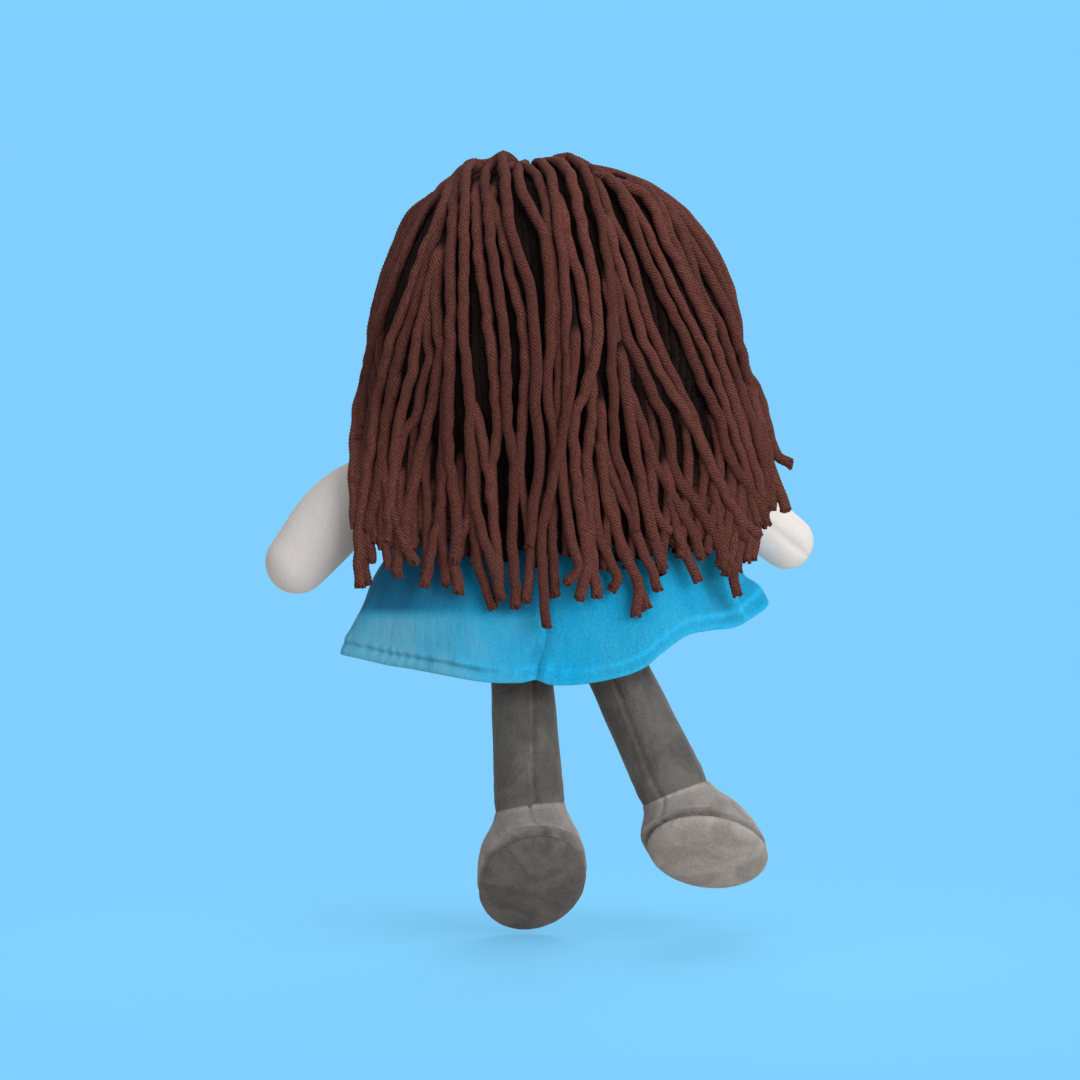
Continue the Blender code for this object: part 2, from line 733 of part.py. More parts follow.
def hair_outer(row, angle):
    """A point of the hair's outside: the angle runs from straight behind, positive to the doll's left."""
    height, width, depth, shift = HAIR_ROW_SHARES[row]
    z = height * CROWN_HEIGHT
    half_width = width * HAIR_HALF_WIDTH
    half_depth = depth * HAIR_HALF_DEPTH
    centre_x = shift * HAIR_HALF_WIDTH
    round_x = centre_x + half_width * math.sin(angle)
    round_y = half_depth * math.cos(angle)
    across = angle / math.radians(HAIR_WRAP_DEG)
    flat_x = centre_x + half_width * across
    flat_y = half_depth - (half_depth - HAIR_EDGE_DEPTH) * across**2
    fall = (HAIR_FALL_TOP - z) / (HAIR_FALL_TOP - HAIR_FALL_BOTTOM)
    fall = min(max(fall, 0.0), 1.0)
    fall = fall * fall * (3 - 2 * fall)
    return Vector((round_x + (flat_x - round_x) * fall, round_y + (flat_y - round_y) * fall, z))


def hair_point(angle, z):
    """The hair's outside at any height, between the rows above and below it."""
    heights = [row[0] * CROWN_HEIGHT for row in HAIR_ROW_SHARES]
    for row in range(len(heights) - 1):
        if z >= heights[row + 1]:
            share = (heights[row] - z) / (heights[row] - heights[row + 1])
            return hair_outer(row, angle).lerp(hair_outer(row + 1, angle), share)
    return hair_outer(len(heights) - 1, angle) + Vector((0, 0, z - heights[-1]))


def hair_inside(point, angle):
    """The matching inside point: within the head where there is head, and a thickness in below it."""
    centre = head_centre()
    if point.z > HAIR_BED_BOTTOM:
        return head_point((point - centre).normalized(), HAIR_BED)
    share = min(max((HAIR_BED_BOTTOM - point.z) / (HAIR_BED_BOTTOM - HAIR_FALL_BOTTOM), 0.0), 1.0)
    inward = Vector((-math.sin(angle), -math.cos(angle), 0.0)).lerp(Vector((0, -1, 0)), share)
    return point + inward.normalized() * HAIR_THICKNESS


def strand_tip(strand, edge, end_height, end_rise):
    wave = math.sin(strand * RAGGED_SHARES[0]) * math.cos(strand * RAGGED_SHARES[1])
    return end_height + end_rise * edge**2 + TIP_RAGGED * wave


def make_hair(name, start_deg, end_deg, strands, end_height, end_rise, bed, axis):
    """A ridged shell with a ridge for each strand of yarn and a ragged lower edge, bedded on the head."""
    columns = 2 * strands + 1
    highest_tip = end_height + max(end_rise, 0.0) + TIP_RAGGED
    heights = [row[0] * CROWN_HEIGHT for row in HAIR_ROW_SHARES if row[0] * CROWN_HEIGHT > highest_tip]
    bm = bmesh.new()
    outside = []
    inside = []
    for column in range(columns):
        share = column / (columns - 1)
        angle = math.radians(start_deg + (end_deg - start_deg) * share)
        outward = Vector((math.sin(angle), math.cos(angle), 0.0))
        lift = STRAND_RIDGE if column % 2 else -STRAND_RIDGE
        tip = strand_tip(column // 2, 2 * share - 1, end_height, end_rise)
        outer = []
        inner = []
        for row, z in enumerate([*heights, tip]):
            point = hair_point(angle, z)
            inner.append(bm.verts.new(hair_inside(point, angle)))
            outer.append(bm.verts.new(point + outward * (lift if row else 0.0)))
        outside.append(outer)
        inside.append(inner)
    rows = len(heights) + 1
    for column in range(columns - 1):
        for row in range(rows - 1):
            a, b = outside[column], outside[column + 1]
            bm.faces.new((a[row], b[row], b[row + 1], a[row + 1]))
            a, b = inside[column], inside[column + 1]
            bm.faces.new((a[row + 1], b[row + 1], b[row], a[row]))
        for row in (0, rows - 1):
            out_a, out_b = outside[column][row], outside[column + 1][row]
            in_a, in_b = inside[column][row], inside[column + 1][row]
            bm.faces.new((out_a, in_a, in_b, out_b))
    for column in (0, columns - 1):
        outer, inner = outside[column], inside[column]
        for row in range(rows - 1):
            bm.faces.new((outer[row], outer[row + 1], inner[row + 1], inner[row]))
    hair = add_object(name, bm, "brown_yarn", axis)
    cut(hair, bed)
    hair.modifiers[-1].solver = "MANIFOLD"


def head_top(x, y, outset):
    """The head's Z over a place near its crown."""
    rise = 1.0
    for _ in range(CROWN_ROUNDS):
        aside = abs(x) / (HEAD_HALF_WIDTH * (1 - HEAD_TAPER_SHARE * rise))
        ahead = abs(y) / HEAD_HALF_DEPTH
        plan = (aside**HEAD_PLAN_POWER + ahead**HEAD_PLAN_POWER) ** (1 / HEAD_PLAN_POWER)
        rise = (1 - plan**HEAD_SIDE_POWER) ** (1 / HEAD_SIDE_POWER)
    return head_centre().z + HEAD_HALF_HEIGHT * rise + outset


def tape_ring(middle, size_share, outset):
    ring = []
    for step in range(TAPE_SIDES):
        angle = math.tau * step / TAPE_SIDES
        x = middle + size_share * TAPE_HALF_LENGTH * math.cos(angle)
        y = size_share * TAPE_HALF_WIDTH * math.sin(angle)
        ring.append(Vector((x, y, head_top(x, y, outset))))
    return ring


def make_hair_tape(bed, axis):
    """The strip that the yarn is sewn to, along the crown."""
    middle = HAIR_ROW_SHARES[0][3] * HAIR_HALF_WIDTH
    low = [Vector((middle, 0.0, head_top(middle, 0.0, -HAIR_BED)))]
    high = [Vector((middle, 0.0, head_top(middle, 0.0, TAPE_THICKNESS)))]
    bm = bmesh.new()
    rings = [low, tape_ring(middle, 1.0, -HAIR_BED), tape_ring(middle, 1.0, TAPE_THICKNESS)]
    rings += [tape_ring(middle, TAPE_INNER_SHARE, TAPE_THICKNESS), high]
    loft(bm, rings)
    tape = add_object("hair_tape", bm, "tape", axis)
    cut(tape, bed)


def make_all_hair(axis, frame):
    bed = add_cutter("hair_bed_cut", head_ball(-SEWN_GAP), frame)
    make_hair_tape(bed, axis)
    gap = HAIR_PART_GAP_DEG
    wrap = HAIR_WRAP_DEG
    inner = wrap + gap
    outer = inner + LOCK_SPAN_DEG
    make_hair("hair_back", -wrap, wrap, BACK_STRANDS, BACK_END_HEIGHT, TIP_RISE_AT_EDGE, bed, axis)
    make_hair("hair_left_lock", inner, outer, LOCK_STRANDS, LOCK_END_HEIGHT, 0.0, bed, axis)
    make_hair("hair_right_lock", -outer, -inner, LOCK_STRANDS, LOCK_END_HEIGHT, 0.0, bed, axis)
    start = outer + gap
    end = math.degrees(math.tau) - start
    make_hair("hair_fringe", start, end, FRINGE_STRANDS, FRINGE_END_HEIGHT, 0.0, bed, axis)


def main():
    clear_scene()
    frame = empty("doll_frame", Vector((0, -SEAT_BEHIND_BODY, 0)))
    neck = empty("neck_axis", Vector((0, 0, NECK_PIVOT_HEIGHT)), frame)
    make_head(neck, frame)
    make_face(neck)
    make_all_hair(neck, frame)

    hip_cutters = []
    shoulder_cutters = []
    for side_name, side, splay, twist, route, hand_radius in (
        ("left", 1, LEFT_LEG_SPLAY_DEG, LEFT_FOOT_TWIST_DEG, LEFT_ARM_ROUTE, HAND_RADIUS),
        ("right", -1, RIGHT_LEG_SPLAY_DEG, RIGHT_FOOT_TWIST_DEG, RIGHT_ARM_ROUTE, RIGHT_HAND_RADIUS),
    ):
        shoulder = Vector((side * SHOULDER_HALF_WIDTH, 0, SHOULDER_HEIGHT))
        hip = Vector((side * HIP_HALF_SPACING, -HIP_FORWARD, HIP_HEIGHT))
        shoulder_axis = empty(side_name + "_shoulder_axis", shoulder, frame)
        hip_axis = empty(side_name + "_hip_axis", hip, frame)
        make_arm(side_name, side, route, hand_radius, shoulder_axis)
        make_leg(side_name, side, splay, twist, hip_axis)
        room = ARM_RADIUS + JOINT_CLEARANCE
        shoulder_cutters.append(ball_cutter(side_name + "_shoulder_cut", shoulder, room, frame))
        hip_cutters.append(hip_sweep_cutter(side_name + "_hip_cut", side, splay, frame))
    make_torso(frame, hip_cutters, shoulder_cutters)
    make_dress(frame)


main()
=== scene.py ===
import math
import random

import bmesh
import bpy
from mathutils import Matrix, Vector


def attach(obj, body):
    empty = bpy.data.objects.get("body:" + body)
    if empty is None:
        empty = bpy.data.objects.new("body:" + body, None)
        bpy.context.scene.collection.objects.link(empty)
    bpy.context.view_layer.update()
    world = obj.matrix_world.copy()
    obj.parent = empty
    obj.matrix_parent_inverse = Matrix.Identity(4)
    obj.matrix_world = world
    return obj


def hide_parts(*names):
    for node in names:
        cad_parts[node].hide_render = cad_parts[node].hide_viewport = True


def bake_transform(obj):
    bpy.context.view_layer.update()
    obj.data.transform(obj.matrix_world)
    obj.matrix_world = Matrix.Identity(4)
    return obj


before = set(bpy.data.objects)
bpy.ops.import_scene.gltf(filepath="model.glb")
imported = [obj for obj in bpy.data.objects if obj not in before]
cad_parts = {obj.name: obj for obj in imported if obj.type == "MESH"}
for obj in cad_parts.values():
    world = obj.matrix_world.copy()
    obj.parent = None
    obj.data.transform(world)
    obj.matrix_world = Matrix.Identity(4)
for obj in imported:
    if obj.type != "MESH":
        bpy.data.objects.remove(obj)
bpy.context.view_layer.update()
seatY = -0.0205  # the body's own middle plane, in front of the seat mark
rootCollection = bpy.context.scene.collection


# places and small helpers


def doll(x, y, z):
    return Vector((x, y + seatY, z))


def smoothStep(value):
    value = min(max(value, 0.0), 1.0)
    return value * value * (3 - 2 * value)


def between(low, high, value):
    return smoothStep((value - low) / (high - low))


def bump1d(value, middle, width):
    return math.exp(-(((value - middle) / width) ** 2))


def lookup(table, value):
    # straight lines between the rows of a table
    for (x0, y0), (x1, y1) in zip(table, table[1:]):
        if value <= x1:
            return y0 + (y1 - y0) * min(max((value - x0) / (x1 - x0), 0.0), 1.0)
    return table[-1][1]


def curveThrough(points, spacing):
    ends = [points[0] * 2 - points[1], *points, points[-1] * 2 - points[-2]]
    dense = []
    for before, start, end, after in zip(ends, ends[1:], ends[2:], ends[3:]):
        for step in range(12):
            t = step / 12
            dense.append(0.5 * (2 * start + (end - before) * t + (2 * before - 5 * start + 4 * end - after) * t**2
                                + (3 * start - before - 3 * end + after) * t**3))
    dense.append(points[-1].copy())
    total = sum((b - a).length for a, b in zip(dense, dense[1:]))
    count = max(int(round(total / spacing)), 2)
    line = [dense[0].copy()]
    travelled, wanted = 0.0, total / count
    for a, b in zip(dense, dense[1:]):
        length = (b - a).length
        while length > 0 and travelled + length >= wanted * len(line) and len(line) < count:
            line.append(a.lerp(b, (wanted * len(line) - travelled) / length))
        travelled += length
    line.append(dense[-1].copy())
    return line


def deselectAll():
    bpy.ops.object.select_all(action="DESELECT")


def choose(piece):
    deselectAll()
    piece.select_set(True)
    bpy.context.view_layer.objects.active = piece


def takeNew(name, look):
    piece = bpy.context.object
    piece.name = name
    piece.data.name = name
    piece.data.materials.clear()
    piece.data.materials.append(look)
    bpy.ops.object.shade_smooth()
    return piece


def applyAll(piece):
    choose(piece)
    for modifier in list(piece.modifiers):
        bpy.ops.object.modifier_apply(modifier=modifier.name)


def roundPiece(name, look, sides, rings, detail=None, held=None):
    # a ball whose rows of points are moved onto the rings, from pole to pole; detail gives how far a point stands
    # out and how much painted shade or painted highlight it takes there, held gives how firmly it is sewn down
    deselectAll()
    bpy.ops.mesh.primitive_uv_sphere_add(segments=sides, ring_count=len(rings) - 1, radius=1, location=(0, 0, 0))
    piece = takeNew(name, look)
    pins = piece.vertex_groups.new(name="held")
    lighter = []
    for vert in piece.data.vertices:
        angle = math.atan2(vert.co.y, vert.co.x)
        row = round(math.acos(min(max(vert.co.z, -1), 1)) / math.pi * (len(rings) - 1))
        centre, across, ahead = rings[row]
        out = across * math.cos(angle) + ahead * math.sin(angle)
        place = centre + out
        stand, napAndPaintedLight = detail(angle, row / (len(rings) - 1), place) if detail and out.length > 1e-6 else (0.0, 0.0)
        if stand:
            place += out.normalized() * stand
        lighter.append(napAndPaintedLight)
        if held:
            pins.add([vert.index], min(max(held(angle, row / (len(rings) - 1), place), 0.0), 1.0), "REPLACE")
        vert.co = place
    keepValues(piece, "napAndPaintedLight", lighter)
    faceOutwards(piece)
    return piece


def keepValues(piece, name, values):
    piece.data.attributes.new(name, "FLOAT", "POINT").data.foreach_set("value", values)


cushion = {"pressure": 3.0, "frames": 20, "mass": 0.12, "stiff": 14.0, "bend": 0.6, "spare": 0.0}


def stuffPieces(limits):
    # the fabric is blown up by its stuffing in Blender's Cloth; no point moves further than its piece's limit
    starts = {}
    for piece, limit in limits:
        starts[piece.name] = [vert.co.copy() for vert in piece.data.vertices]
        cloth = piece.modifiers.new("stuffed cloth", "CLOTH")
        cloth.settings.quality = 5
        cloth.settings.mass = cushion["mass"]
        cloth.settings.tension_stiffness = cloth.settings.compression_stiffness = cushion["stiff"]
        cloth.settings.bending_stiffness = cushion["bend"]
        cloth.settings.use_pressure = True
        cloth.settings.uniform_pressure_force = cushion["pressure"]
        cloth.settings.shrink_min = cushion["spare"]
        cloth.settings.effector_weights.gravity = 0
        cloth.settings.vertex_group_mass = "held"
        cloth.point_cache.frame_start, cloth.point_cache.frame_end = 1, cushion["frames"]
    for step in range(1, cushion["frames"] + 1):
        bpy.context.scene.frame_set(step)
    for piece, limit in limits:
        choose(piece)
        bpy.ops.object.modifier_apply(modifier="stuffed cloth")
        moved = []
        for vert, start in zip(piece.data.vertices, starts[piece.name]):
            move = vert.co - start
            moved.append(move.length)
            if move.length > limit:
                vert.co = start + move * (limit / move.length)
        print("stuffed", piece.name, "moved up to", round(max(moved) * 1000, 2), "mm, limit", round(limit * 1000, 2))
    bpy.context.scene.frame_set(1)


def faceOutwards(piece):
    choose(piece)
    bpy.ops.object.mode_set(mode="EDIT")
    bpy.ops.mesh.select_all(action="SELECT")
    bpy.ops.mesh.remove_doubles(threshold=0.00002)
    bpy.ops.mesh.normals_make_consistent(inside=False)
    bpy.ops.object.mode_set(mode="OBJECT")


def clothPiece(name, look, columns, rows, shape, thickness, outward):
    # a flat grid, laid into its hung form by shape(across, down)
    deselectAll()
    bpy.ops.mesh.primitive_grid_add(x_subdivisions=columns, y_subdivisions=rows, size=2, location=(0, 0, 0))
    piece = takeNew(name, look)
    lighter = []
    for vert in piece.data.vertices:
        vert.co, napAndPaintedLight = shape((vert.co.x + 1) / 2, (vert.co.y + 1) / 2)
        lighter.append(napAndPaintedLight)
    keepValues(piece, "napAndPaintedLight", lighter)
    mesh = piece.data
    middle = mesh.polygons[len(mesh.polygons) // 2]
    if middle.normal.dot(outward(middle.center)) < 0:
        mesh.flip_normals()
    wall = piece.modifiers.new("cloth thickness", "SOLIDIFY")
    wall.thickness = thickness
    wall.offset = -1
    soft = piece.modifiers.new("soft edges", "SUBSURF")
    soft.levels = soft.render_levels = 1
    return piece


def tubeInto(mesh, line, radius, sides, lobe=0.0, turn=0.0, index=0, ragged=0.0, close=True, dice=None):
    uvLayer = mesh.loops.layers.uv.get("strand") or mesh.loops.layers.uv.new("strand")
    along = (line[1] - line[0]).normalized()
    aside = along.orthogonal().normalized()
    rings, lengths, travelled = [], [], 0.0
    last = len(line) - 1
    for step, place in enumerate(line):
        onward = (line[min(step + 1, last)] - line[max(step - 1, 0)]).normalized()
        aside = (aside - onward * aside.dot(onward)).normalized()
        up = onward.cross(aside)
        if step:
            travelled += (place - line[step - 1]).length
        reach = radius(step / last) if callable(radius) else radius
        ring = []
        for side in range(sides):
            angle = math.tau * side / sides + turn * travelled
            out = reach + (lobe if side % 2 else -lobe)
            point = place + (aside * math.cos(angle) + up * math.sin(angle)) * out
            if ragged and step == last:
                point += onward * ragged * (dice.random() - 0.35)
            ring.append(mesh.verts.new(point))
        rings.append(ring)
        lengths.append(travelled)
    for step in range(last):
        here, after = rings[step], rings[step + 1]
        for side in range(sides):
            other = (side + 1) % sides
            face = mesh.faces.new((here[side], here[other], after[other], after[side]))
            face.smooth = True
            corners = ((side, step), (side + 1, step), (side + 1, step + 1), (side, step + 1))
            for loop, (a, b) in zip(face.loops, corners):
                loop[uvLayer].uv = (a / sides, lengths[b] + index)
    if close:
        for ring, step, push in ((rings[0], 0, 0.0), (rings[-1], last, -0.25 if ragged else 0.3)):
            inward = (line[step] - line[step - 1 if step else 1]).normalized()
            reach = radius(step / last) if callable(radius) else radius
            tip = mesh.verts.new(line[step] + inward * push * reach)
            for side in range(sides):
                corners = (ring[side], ring[(side + 1) % sides], tip)
                face = mesh.faces.new(corners if step else corners[::-1])
                for loop in face.loops:
                    loop[uvLayer].uv = (side / sides, lengths[step] + index)
    return rings


def tubePiece(name, look, build):
    mesh = bmesh.new()
    build(mesh)
    bmesh.ops.recalc_face_normals(mesh, faces=mesh.faces)
    data = bpy.data.meshes.new(name)
    mesh.to_mesh(data)
    mesh.free()
    piece = bpy.data.objects.new(name, data)
    rootCollection.objects.link(piece)
    data.materials.append(look)
    return piece


# shader groups


def node(tree, kind, **settings):
    made = tree.nodes.new(kind)
    for key, value in settings.items():
        if key in made.inputs:
            made.inputs[key].default_value = value
        else:
            setattr(made, key, value)
    return made


def join(tree, source, output, target, socket):
    tree.links.new(source.outputs[output], target.inputs[socket])


def newGroup(name, inputs, outputs):
    tree = bpy.data.node_groups.new(name, "ShaderNodeTree")
    for label, kind, value in inputs:
        socket = tree.interface.new_socket(label, in_out="INPUT", socket_type=kind)
        if value is not None:
            socket.default_value = value
    for label, kind in outputs:
        tree.interface.new_socket(label, in_out="OUTPUT", socket_type=kind)
    return tree, tree.nodes.new("NodeGroupInput"), tree.nodes.new("NodeGroupOutput")


def mathNode(tree, operation, first=None, second=None, clamp=False):
    made = tree.nodes.new("ShaderNodeMath")
    made.operation = operation
    made.use_clamp = clamp
    for index, value in enumerate((first, second)):
        if value is None:
            continue
        if isinstance(value, tuple):
            tree.links.new(value[0].outputs[value[1]], made.inputs[index])
        else:
            made.inputs[index].default_value = value
    return made


def mixColour(tree, factor, first, second, blend="MIX"):
    made = tree.nodes.new("ShaderNodeMix")
    made.data_type = "RGBA"
    made.blend_type = blend
    for index, value in ((0, factor), (6, first), (7, second)):
        if isinstance(value, tuple) and hasattr(value[0], "outputs"):
            tree.links.new(value[0].outputs[value[1]], made.inputs[index])
        else:
            made.inputs[index].default_value = value
    return made


def remap(tree, source, output, low, high, toLow=0.0, toHigh=1.0):
    made = tree.nodes.new("ShaderNodeMapRange")
    made.interpolation_type = "SMOOTHSTEP"
    for index, value in enumerate((low, high, toLow, toHigh), 1):
        made.inputs[index].default_value = value
    join(tree, source, output, made, 0)
    return made


def makePileGroup():
    # short cut pile: brushed patches, fine tufts and a soft height; the colour is also made lighter or darker by the
    # painted shade and painted highlight kept on the piece's points
    tree, inside, outside = newGroup(
        "clothPile",
        (("Cloth", "NodeSocketColor", (0.5, 0.5, 0.5, 1)), ("Brushed", "NodeSocketColor", (0.6, 0.6, 0.6, 1)),
         ("Patch", "NodeSocketFloat", 40.0), ("Pile", "NodeSocketFloat", 1500.0), ("Amount", "NodeSocketFloat", 0.5),
         ("Tuft", "NodeSocketFloat", 1.0)),
        (("Color", "NodeSocketColor"), ("Height", "NodeSocketFloat"), ("Brush", "NodeSocketFloat")))
    place = node(tree, "ShaderNodeTexCoord")
    patch = node(tree, "ShaderNodeTexNoise", Detail=3.0, Roughness=0.55, Distortion=0.6)
    pile = node(tree, "ShaderNodeTexNoise", Detail=2.0, Roughness=0.6)
    streak = node(tree, "ShaderNodeTexNoise", Scale=260.0, Detail=2.0, Roughness=0.6)
    stretch = node(tree, "ShaderNodeMapping")
    stretch.inputs["Scale"].default_value = (1.0, 1.0, 0.35)
    join(tree, place, "Object", patch, "Vector")
    join(tree, place, "Object", pile, "Vector")
    join(tree, place, "Object", stretch, "Vector")
    join(tree, stretch, "Vector", streak, "Vector")
    join(tree, inside, "Patch", patch, "Scale")
    join(tree, inside, "Pile", pile, "Scale")
    soft = remap(tree, patch, "Fac", 0.38, 0.66)
    grain = remap(tree, streak, "Fac", 0.3, 0.7)
    both = mathNode(tree, "MULTIPLY", (soft, 0), 0.75)
    added = mathNode(tree, "MULTIPLY_ADD", (grain, 0), 0.25)
    join(tree, both, 0, added, 2)
    amount = mathNode(tree, "MULTIPLY", (added, 0), (inside, "Amount"), clamp=True)
    colour = mixColour(tree, (amount, 0), (inside, "Cloth"), (inside, "Brushed"))
    flecks = remap(tree, pile, "Fac", 0.3, 0.72, -0.20, 0.14)
    tufts = mathNode(tree, "MULTIPLY", (flecks, 0), (inside, "Tuft"))
    # painted shade and painted highlight kept on each piece's points: darker seams, stitched lines and stocking tops,
    # lighter rims and edges
    napAndPaintedLight = node(tree, "ShaderNodeAttribute", attribute_name="napAndPaintedLight")
    lighter = mathNode(tree, "ADD", (napAndPaintedLight, "Fac"), 1.0)
    level = mathNode(tree, "ADD", (tufts, 0), (lighter, 0))
    shade = node(tree, "ShaderNodeVectorMath", operation="SCALE")
    join(tree, colour, 2, shade, 0)
    join(tree, level, 0, shade, "Scale")
    height = mathNode(tree, "ADD", (pile, "Fac"), (grain, 0))
    join(tree, shade, 0, outside, "Color")
    join(tree, height, 0, outside, "Height")
    join(tree, added, 0, outside, "Brush")
    return tree


def makeYarnGroup():
    # fine twisted plies round a strand: u runs round it, v along it in metres; the grooves between plies are painted
    # darker and the plies' ridges lighter, as painted shade and painted highlight
    tree, inside, outside = newGroup(
        "yarnTwist",
        (("GroovePaintedShade", "NodeSocketColor", (0.05, 0.014, 0.011, 1)), ("Yarn", "NodeSocketColor", (0.17, 0.06, 0.05, 1)),
         ("RidgePaintedLight", "NodeSocketColor", (0.27, 0.105, 0.085, 1)), ("Plies", "NodeSocketFloat", 12.0)),
        (("Color", "NodeSocketColor"), ("Height", "NodeSocketFloat")))
    strand = node(tree, "ShaderNodeUVMap", uv_map="strand")
    split = node(tree, "ShaderNodeSeparateXYZ")
    join(tree, strand, "UV", split, 0)
    turn = mathNode(tree, "MULTIPLY", (split, 0), math.tau)
    cosine = mathNode(tree, "COSINE", (turn, 0))
    sine = mathNode(tree, "SINE", (turn, 0))
    along = mathNode(tree, "MULTIPLY", (split, 1), 700.0)
    ring = node(tree, "ShaderNodeCombineXYZ")
    join(tree, cosine, 0, ring, 0)
    join(tree, sine, 0, ring, 1)
    join(tree, along, 0, ring, 2)
    fibres = node(tree, "ShaderNodeTexNoise", Scale=3.3, Detail=3.0, Roughness=0.7)
    join(tree, ring, 0, fibres, "Vector")
    wander = node(tree, "ShaderNodeTexNoise", Scale=1.5, Detail=2.0)
    join(tree, ring, 0, wander, "Vector")
    plyTurn = mathNode(tree, "MULTIPLY", (turn, 0), (inside, "Plies"))
    shift = mathNode(tree, "MULTIPLY_ADD", (wander, "Fac"), 5.0)
    shift.inputs[2].default_value = -2.5
    phase = mathNode(tree, "ADD", (plyTurn, 0), (shift, 0))
    wave = mathNode(tree, "COSINE", (phase, 0))
    rough = mathNode(tree, "MULTIPLY", (fibres, "Fac"), 1.30)
    raised = mathNode(tree, "MULTIPLY_ADD", (wave, 0), -0.14)
    join(tree, rough, 0, raised, 2)
    light = remap(tree, raised, 0, 0.30, 0.98)
    darkHalf = remap(tree, light, 0, 0.0, 0.45)
    lightHalf = remap(tree, light, 0, 0.5, 1.0)
    # painted shade in the grooves between plies, painted highlight on their ridges
    low = mixColour(tree, (darkHalf, 0), (inside, "GroovePaintedShade"), (inside, "Yarn"))
    high = mixColour(tree, (lightHalf, 0), (low, 2), (inside, "RidgePaintedLight"))
    number = mathNode(tree, "FLOOR", (split, 1))
    dice = node(tree, "ShaderNodeTexWhiteNoise", noise_dimensions="1D")
    join(tree, number, 0, dice, "W")
    tint = remap(tree, dice, "Value", 0.0, 1.0, 0.86, 1.12)
    # painted shade: yarn that lies deep below the hair's outside, or under other strands, is painted darker
    buriedPaintedShade = node(tree, "ShaderNodeAttribute", attribute_name="buriedPaintedShade")
    open = remap(tree, buriedPaintedShade, "Fac", 0.0, 1.0, 1.0, 0.07)
    level = mathNode(tree, "MULTIPLY", (tint, 0), (open, 0))
    shade = node(tree, "ShaderNodeVectorMath", operation="SCALE")
    join(tree, high, 2, shade, 0)
    join(tree, level, 0, shade, "Scale")
    join(tree, shade, 0, outside, "Color")
    join(tree, light, 0, outside, "Height")
    return tree


pileGroup = makePileGroup()
yarnGroup = makeYarnGroup()


def newLook(name):
    look = bpy.data.materials.new(name)
    look.use_nodes = True
    tree = look.node_tree
    return look, tree, tree.nodes["Principled BSDF"]


def placeGroup(tree, group, values):
    made = tree.nodes.new("ShaderNodeGroup")
    made.node_tree = group
    for label, value in values.items():
        made.inputs[label].default_value = value
    return made


def addBump(tree, shader, source, output, strength, distance):
    bump = node(tree, "ShaderNodeBump")
    bump.inputs["Strength"].default_value = strength
    bump.inputs["Distance"].default_value = distance
    join(tree, source, output, bump, "Height")
    join(tree, bump, "Normal", shader, "Normal")


def pileLook(name, cloth, brushed, patch=40.0, pile=1500.0, amount=0.6, sheen=0.25, roughness=0.9, deep=0.0005,
             tuft=0.9):
    look, tree, shader = newLook(name)
    group = placeGroup(tree, pileGroup, {"Cloth": (*cloth, 1), "Brushed": (*brushed, 1), "Patch": patch, "Pile": pile,
                                         "Amount": amount, "Tuft": tuft})
    join(tree, group, "Color", shader, "Base Color")
    addBump(tree, shader, group, "Height", 0.5, deep)
    shader.inputs["Roughness"].default_value = roughness
    shader.inputs["Specular IOR Level"].default_value = 0.15
    shader.inputs["Sheen Weight"].default_value = sheen
    shader.inputs["Sheen Roughness"].default_value = 0.45
    return look


def yarnLook(name, groove, yarn, ridge, plies):
    look, tree, shader = newLook(name)
    group = placeGroup(tree, yarnGroup, {"GroovePaintedShade": (*groove, 1), "Yarn": (*yarn, 1), "RidgePaintedLight": (*ridge, 1),
                                         "Plies": plies})
    join(tree, group, "Color", shader, "Base Color")
    addBump(tree, shader, group, "Height", 0.8, 0.0006)
    shader.inputs["Roughness"].default_value = 0.95
    shader.inputs["Specular IOR Level"].default_value = 0.1
    shader.inputs["Sheen Weight"].default_value = 0.06
    shader.inputs["Sheen Roughness"].default_value = 0.5
    shader.inputs["Sheen Tint"].default_value = (0.75, 0.45, 0.38, 1)
    return look


# the greyer colour of the left side is partly brushed pile and partly painted sheen; the darkest blue is the painted
# shadow of the hair
dressPile = {"cloth": (0.006, 0.36, 0.68), "brushed": (0.030, 0.40, 0.66), "napAndPaintedLight": (0.115, 0.42, 0.60),
             "deep": (0.0, 0.10, 0.23), "from": -0.005, "to": 0.05, "low": 0.012, "high": 0.020}


